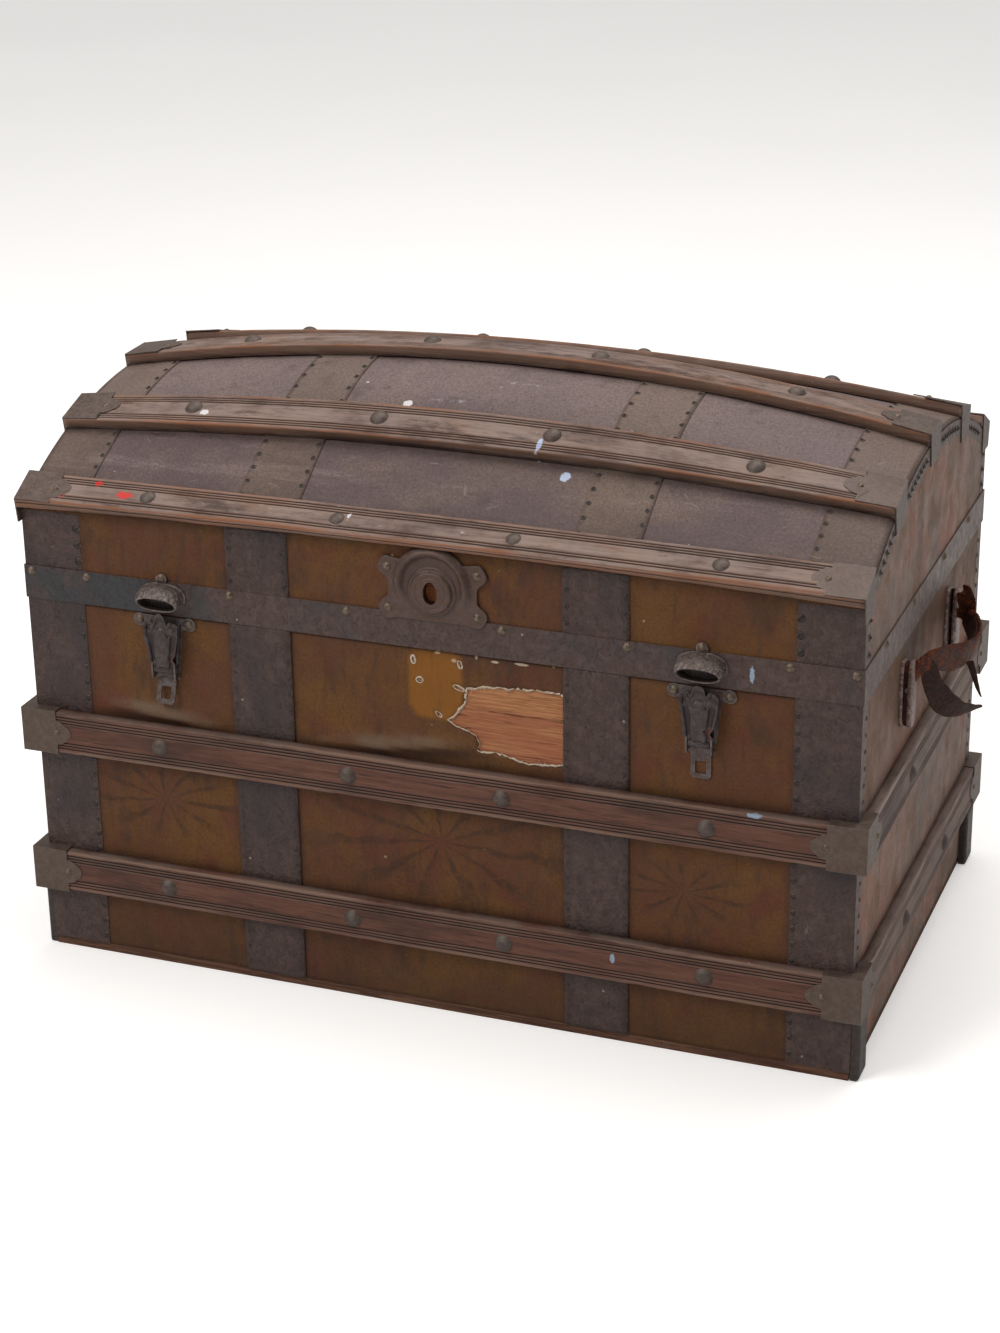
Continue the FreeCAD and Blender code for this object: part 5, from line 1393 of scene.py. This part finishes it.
def lock_plate():
    """The pressed cover with its keyhole, and the rusty plate seen through the keyhole."""
    foot = BAND_OUT + 0.1 * MM
    angles = np.linspace(0, 2 * math.pi, 240, endpoint=False)
    inner = np.concatenate([np.linspace(0, 2, 6), np.linspace(2.6, 20, 34)])
    outer = np.linspace(0.02, 1.0, 44)
    columns = []
    step_darkening = []
    for angle in angles:
        hole = 1 / math.hypot(math.cos(angle) / KEYHOLE_HALF[0], math.sin(angle) / KEYHOLE_HALF[1])
        edge = lock_outline(angle)
        near = hole + inner * (27 - hole) / 20
        r = np.concatenate([near, 27 + (edge - 27) * outer])
        height = lock_height(r, angle)
        height[-1] = 1.0
        r = np.concatenate([[hole + 0.2, hole], r, [edge + 0.2]])
        height = np.concatenate([[0.0, height[0] - 0.8], height, [0.0]])
        columns.append(np.stack([LOCK_X + r * MM * math.cos(angle), -foot - height * MM,
                                 LOCK_Z + r * MM * math.sin(angle)], -1))
        # Darker in the sunk step round the inner disc.
        step_darkening.append(bell(r, 25.5, 2.2) * 0.25)
    rings = np.array(columns)
    flat = rings.reshape(-1, 3)
    front = flat[:, 1] < -foot - 0.9 * MM
    flat[:, 1] -= front * (0.16 * noise(flat, 7 * MM, 501) + 0.3 * noise(flat, 24 * MM, 502)) * MM
    flat[:, 2] = np.minimum(flat[:, 2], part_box("front_edge_slat")[0].z + lip_rise(0) - 0.5 * MM)
    count = rings.shape[1]
    faces = grid_faces(len(angles) + 1, count, wrap=True) % (len(angles) * count)
    add_mesh("lock_cover", "lid", flat, faces, LOCK_IRON, ["lock_plate"], "pressed_iron",
             {"grime": np.array(step_darkening).ravel(), "redness": np.zeros(len(flat))})
    back = np.array([oval_ring((LOCK_X, BAND_OUT + out * MM, LOCK_Z), 8 * share * MM, 12.2 * share * MM,
                               0.0, 32, 2.0)
                     for out, share in ((0.1, 1.0), (0.6, 1.0), (0.9, 0.7), (1.0, 0.3))])
    add_mesh("lock_keyhole_plate", "lid", *lofted(back), RUSTY_PLATE, slot="pressed_iron")


# ---- leather handles --------------------------------------------------------------------------------------
HANDLE_AXIS_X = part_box("right_handle_strap")[0].x + 5.1 * MM
HANDLE_Z = 351 * MM
HANDLE_Y = 100 * MM
CAP_HALF, CAP_RISE = 11.0, 35.0     # half width and half height of a cap, in millimetres


def swept(path, half_wide, half_thick, width_dir):
    """Closed bar along a path with a rounded flat section; width_dir has one direction per station."""
    turn = np.linspace(0, 2 * math.pi, 20, endpoint=False)
    waves = (np.cos(turn), np.sin(turn))
    section_wide, section_thick = (np.sign(wave) * np.abs(wave) ** (2 / 3) for wave in waves)
    rings = []
    for k in range(len(path)):
        before, after = path[max(0, k - 1)], path[min(len(path) - 1, k + 1)]
        along = (after - before) / np.linalg.norm(after - before)
        wide = width_dir[k] - along * (width_dir[k] @ along)
        wide /= np.linalg.norm(wide)
        thick = np.cross(along, wide)
        rings.append(path[k] + (section_wide * half_wide[k])[:, None] * wide
                     + (section_thick * half_thick)[:, None] * thick)
    return np.array(rings)


def curve_through(points, count):
    """Smooth path through a few points (Catmull-Rom)."""
    p = np.array([points[0]] + list(points) + [points[-1]], float)
    out = []
    spans = len(points) - 1
    for s in np.linspace(0, spans - 1e-6, count):
        i = int(s)
        t = s - i
        a, b, c, d = p[i], p[i + 1], p[i + 2], p[i + 3]
        out.append(0.5 * (2 * b + (c - a) * t + (2 * a - 5 * b + 4 * c - d) * t ** 2
                          + (3 * b - a - 3 * c + d) * t ** 3))
    return np.array(out)


def side_place(sign, points):
    """Turns (out, y, up) in millimetres from the handle's axis into the right or left end's frame."""
    p = np.asarray(points, float) * MM
    return np.stack([sign * (HANDLE_AXIS_X + p[..., 0]), p[..., 1], HANDLE_Z + p[..., 2]], -1)


def leather_bar(part, side, sign, path, half_wide, half_thick, lean, material, seed, replaces=(), rough=0.7):
    """A leather strip along a path; lean is the tilt of its width from upright at each station."""
    wide = np.stack([np.sin(lean), np.zeros(len(path)), np.cos(lean)], -1)
    rings = side_place(sign, swept(path, half_wide, half_thick, wide))
    flat = rings.reshape(-1, 3)
    flat += jitter(flat, 11 * MM, seed) * rough * MM
    flat += jitter(flat, 3.5 * MM, seed + 5) * 0.28 * MM
    verts, faces = lofted(flat.reshape(rings.shape))
    if sign < 0:
        faces = [tuple(reversed(f)) for f in faces]
    obj = add_mesh("handle_%s_%s" % (part, side), "%s_handle" % side, verts, faces, material, replaces,
                   "leather")
    modify(obj, "SUBSURF", levels=1, render_levels=1)
    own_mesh(obj)


# Paths are (out, y, up) in millimetres from the handle's axis.
STRAP_PATH = [(0, -98, 0), (4, -96, 11), (9, -91, 20), (17, -72, 19), (23, -50, 12), (30, -25, 5), (35, 0, 0),
              (36, 25, -2), (32, 50, 1), (24, 70, 4), (13, 86, 5), (0, 98, 1)]
FLAP_PATH = [(11, -84, 21), (14, -81, 11), (18, -74, -10), (27, -60, -31), (38, -40, -45), (53, -10, -51)]
SHRED_PATH = [(37, 0, -9), (41, 4, -24), (45, 8, -41), (48, 12, -51)]
SCRAP_PATH = [(13, 83, 8), (11, 83, 22), (12, 82, 33), (16, 82, 27), (20, 81, 16), (24, 78, 6)]


def strap_and_lining(side, sign, seed):
    count = 110
    path = curve_through(STRAP_PATH, count)
    share = np.linspace(-1, 1, count)
    half_wide = np.interp(share, (-1, -0.85, -0.6, -0.2, 0.2, 0.6, 0.86, 1),
                          (4.6, 5.5, 9.5, 14.5, 15.0, 13.0, 6.0, 4.6))
    lean = 0.2 + 0.14 * np.sin(4 * share)
    leather_bar("strap", side, sign, path, half_wide, 2.7, lean, LEATHER, seed, ["%s_handle_strap" % side])
    inner = np.abs(path[:, 1]) < 82
    back = path - np.array([3.4, 0, 0.8])
    leather_bar("lining", side, sign, back[inner], 0.88 * half_wide[inner], 1.6, lean[inner], DARK_LEATHER,
                seed + 9)


def leather_handle(side, sign, seed):
    """Dried leather strap between the end caps; its outer layer has peeled into a hanging flap."""
    strap_and_lining(side, sign, seed)
    share = np.linspace(0, 1, 54)
    flap_half = np.interp(share, (0, 0.2, 0.5, 0.68, 0.85, 1), (6.0, 9.0, 12.5, 13.0, 8.0, 0.8))
    leather_bar("flap", side, sign, curve_through(FLAP_PATH, 54), flap_half, 1.2, 0.1 + 0.5 * share,
                DARK_LEATHER, seed + 18, rough=0.9)
    leather_bar("shred", side, sign, curve_through(SHRED_PATH, 24), np.linspace(4.4, 0.6, 24), 0.9,
                np.full(24, 0.6), DARK_LEATHER, seed + 27, rough=0.3)
    scrap_half = np.interp(np.linspace(0, 1, 30), (0, 0.3, 0.75, 1), (4, 7, 6.5, 2))
    leather_bar("scrap", side, sign, curve_through(SCRAP_PATH, 30), scrap_half, 1.0, np.full(30, 0.3),
                LEATHER, seed + 33, rough=0.4)


def cap_layer(name, sign, end, depths, insets, strap_side, material, seed, rough, replaces=(),
              slot="pressed_iron"):
    """One layer of a handle cap: a round-ended plate on edge, cut back on the strap's side if asked."""
    angles = np.linspace(0, 2 * math.pi, 72, endpoint=False)
    rings = []
    for depth, inset in zip(depths, insets):
        across = (CAP_HALF - inset) * np.sign(np.cos(angles)) * np.abs(np.cos(angles)) ** 0.75
        up = (CAP_RISE - inset) * np.sign(np.sin(angles)) * np.abs(np.sin(angles)) ** 0.45
        across = np.maximum(across, strap_side)
        out = np.full(len(angles), sign * (HALF_L + depth * MM))
        rings.append(np.stack([out, end * (HANDLE_Y + across * MM), HANDLE_Z + (up - 8) * MM], -1))
    rings = np.array(rings)
    flat = rings.reshape(-1, 3)
    flat += jitter(flat, 7 * MM, seed) * rough * MM
    verts, faces = lofted(flat.reshape(rings.shape))
    add_mesh(name, "base", verts, faces, material, replaces, slot)


def handle_cap(side, sign, end, seed):
    """Cap at one end of the strap: two iron plates with a dry leather packing between them."""
    name = "handle_cap_%s_%s" % (side, "front" if end < 0 else "rear")
    replaced = ["handle_caps"] if (side, end) == ("right", -1) else []
    cap_layer(name + "_back", sign, end, (0.2, 0.9, 3.6, 4.4), (0.6, 0.0, 0.0, 0.8), -CAP_HALF, CAP_IRON,
              seed, 0.3, replaced)
    cap_layer(name + "_packing", sign, end, (4.0, 5.0, 7.5, 8.6), (1.7, 1.2, 1.3, 1.8), -0.5, PACKING,
              seed + 5, 0.6, slot="leather")
    cap_layer(name + "_front", sign, end, (8.2, 9.0, 12.0, 13.0, 13.2), (0.8, 0.0, 0.0, 1.0, 4.0), -CAP_HALF,
              CAP_IRON, seed + 11, 0.35)


def hardware():
    for side, sign in (("left", -1), ("right", 1)):
        latch_hood("latch_hood_%s" % side, sign * LATCH_X, 510 + sign)
        latch_lever(side, sign, 530 + 7 * sign)
        leather_handle(side, sign, 560 + 40 * sign)
        for end in (-1, 1):
            handle_cap(side, sign, end, 640 + 10 * sign + end)
    lock_plate()


# ---- studio -----------------------------------------------------------------------------------------
def white_to_camera(tree, surface, white, output):
    """Shows the camera a plain white, and gives every other ray the surface."""
    mix = tree.nodes.new("ShaderNodeMixShader")
    light_path = tree.nodes.new("ShaderNodeLightPath")
    tree.links.new(light_path.outputs["Is Camera Ray"], mix.inputs[0])
    tree.links.new(surface, mix.inputs[1])
    tree.links.new(white, mix.inputs[2])
    tree.links.new(mix.outputs[0], output)


def studio_floor():
    bpy.ops.mesh.primitive_plane_add(size=60, location=(0, 0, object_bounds()[0].z - 0.2 * MM))
    floor = bpy.context.object
    floor.name = "studio_floor"
    paint = Paint("studio_floor_paint")
    tone = paint.between(paint.noise(0.8, 3, 0.5), 0.3, 0.7)
    paint.color = paint.mix(tone, (0.86, 0.86, 0.86), (0.88, 0.88, 0.88))
    floor.data.materials.append(paint.done(0.7, specular=0.1))
    glow = paint.node("ShaderNodeEmission")
    glow.inputs["Strength"].default_value = 0.32
    lit = paint.node("ShaderNodeAddShader")
    paint.tree.links.new(paint.shader.outputs[0], lit.inputs[0])
    paint.tree.links.new(glow.outputs[0], lit.inputs[1])
    output = paint.tree.nodes["Material Output"].inputs["Surface"]
    white_to_camera(paint.tree, paint.shader.outputs[0], lit.outputs[0], output)
    floor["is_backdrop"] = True


WARM_LIGHT = (1.0, 0.965, 0.93)


def studio():
    studio_floor()
    world = bpy.data.worlds.new("studio_world")
    world.use_nodes = True
    nodes_of_world = world.node_tree.nodes
    soft = nodes_of_world["Background"]
    soft.inputs["Color"].default_value = (*WARM_LIGHT, 1)
    soft.inputs["Strength"].default_value = 0.40
    plain = nodes_of_world.new("ShaderNodeBackground")
    plain.inputs["Color"].default_value = (1, 1, 1, 1)
    surface = nodes_of_world["World Output"].inputs["Surface"]
    white_to_camera(world.node_tree, soft.outputs[0], plain.outputs[0], surface)
    bpy.context.scene.world = world
    lamps = (("key", (-1.7, -2.4, 3.4), 1.9, 96.0), ("top", (0.4, 0.8, 3.6), 2.4, 78.0))
    for name, place, size, power in lamps:
        light = bpy.data.lights.new(name, "AREA")
        light.size = size
        light.energy = power
        light.color = WARM_LIGHT
        lamp = bpy.data.objects.new(name, light)
        lamp.location = place
        aim = Vector((0, 0, 0.3)) - lamp.location
        lamp.rotation_euler = aim.to_track_quat("-Z", "Y").to_euler()
        bpy.context.scene.collection.objects.link(lamp)
    bpy.context.scene.view_settings.view_transform = "Standard"


# The photo's viewpoint: place in metres, then turn, dip and roll in radians, and lens in millimetres.
CAMERA_PLACE = Vector((0.9723, -2.6049, 1.4454))
CAMERA_TURN = 0.3647
CAMERA_DIP = 0.3993
CAMERA_ROLL = -0.0152
CAMERA_LENS = 77.24


def camera():
    level = math.cos(CAMERA_DIP)
    forward = Vector((-math.sin(CAMERA_TURN) * level, math.cos(CAMERA_TURN) * level, -math.sin(CAMERA_DIP)))
    right = forward.cross(Vector((0, 0, 1))).normalized()
    up = right.cross(forward)
    rolled_right = math.cos(CAMERA_ROLL) * right + math.sin(CAMERA_ROLL) * up
    rolled_up = math.cos(CAMERA_ROLL) * up - math.sin(CAMERA_ROLL) * right
    data = bpy.data.cameras.new("camera")
    data.lens = CAMERA_LENS
    data.sensor_fit = "VERTICAL"
    data.sensor_height = 36
    rig = bpy.data.objects.new("camera", data)
    turn = Matrix((rolled_right, rolled_up, -forward)).transposed().to_4x4()
    rig.matrix_world = Matrix.Translation(CAMERA_PLACE) @ turn
    bpy.context.scene.collection.objects.link(rig)
    bpy.context.scene.camera = rig


dress_cad()
base_slats()
curved_slats()
edge_slats()
front_canvas()
wall_grid("canvas_back", "base", ("y", 1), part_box("back_canvas"), CANVAS, ["back_canvas"])
for end, turn in (("right", 1), ("left", -1)):
    wall_grid("canvas_%s_end" % end, "base", ("x", turn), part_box("%s_end_canvas" % end), END_CANVAS,
              ["%s_end_canvas" % end])
lid_canvas()
roof()
wall_strips()
hardware()
tack_heads("tacks_base", "base_tacks", "base", 1.3)
tack_heads("tacks_lid", "lid_tacks", "lid", 1.8)
studio()
camera()
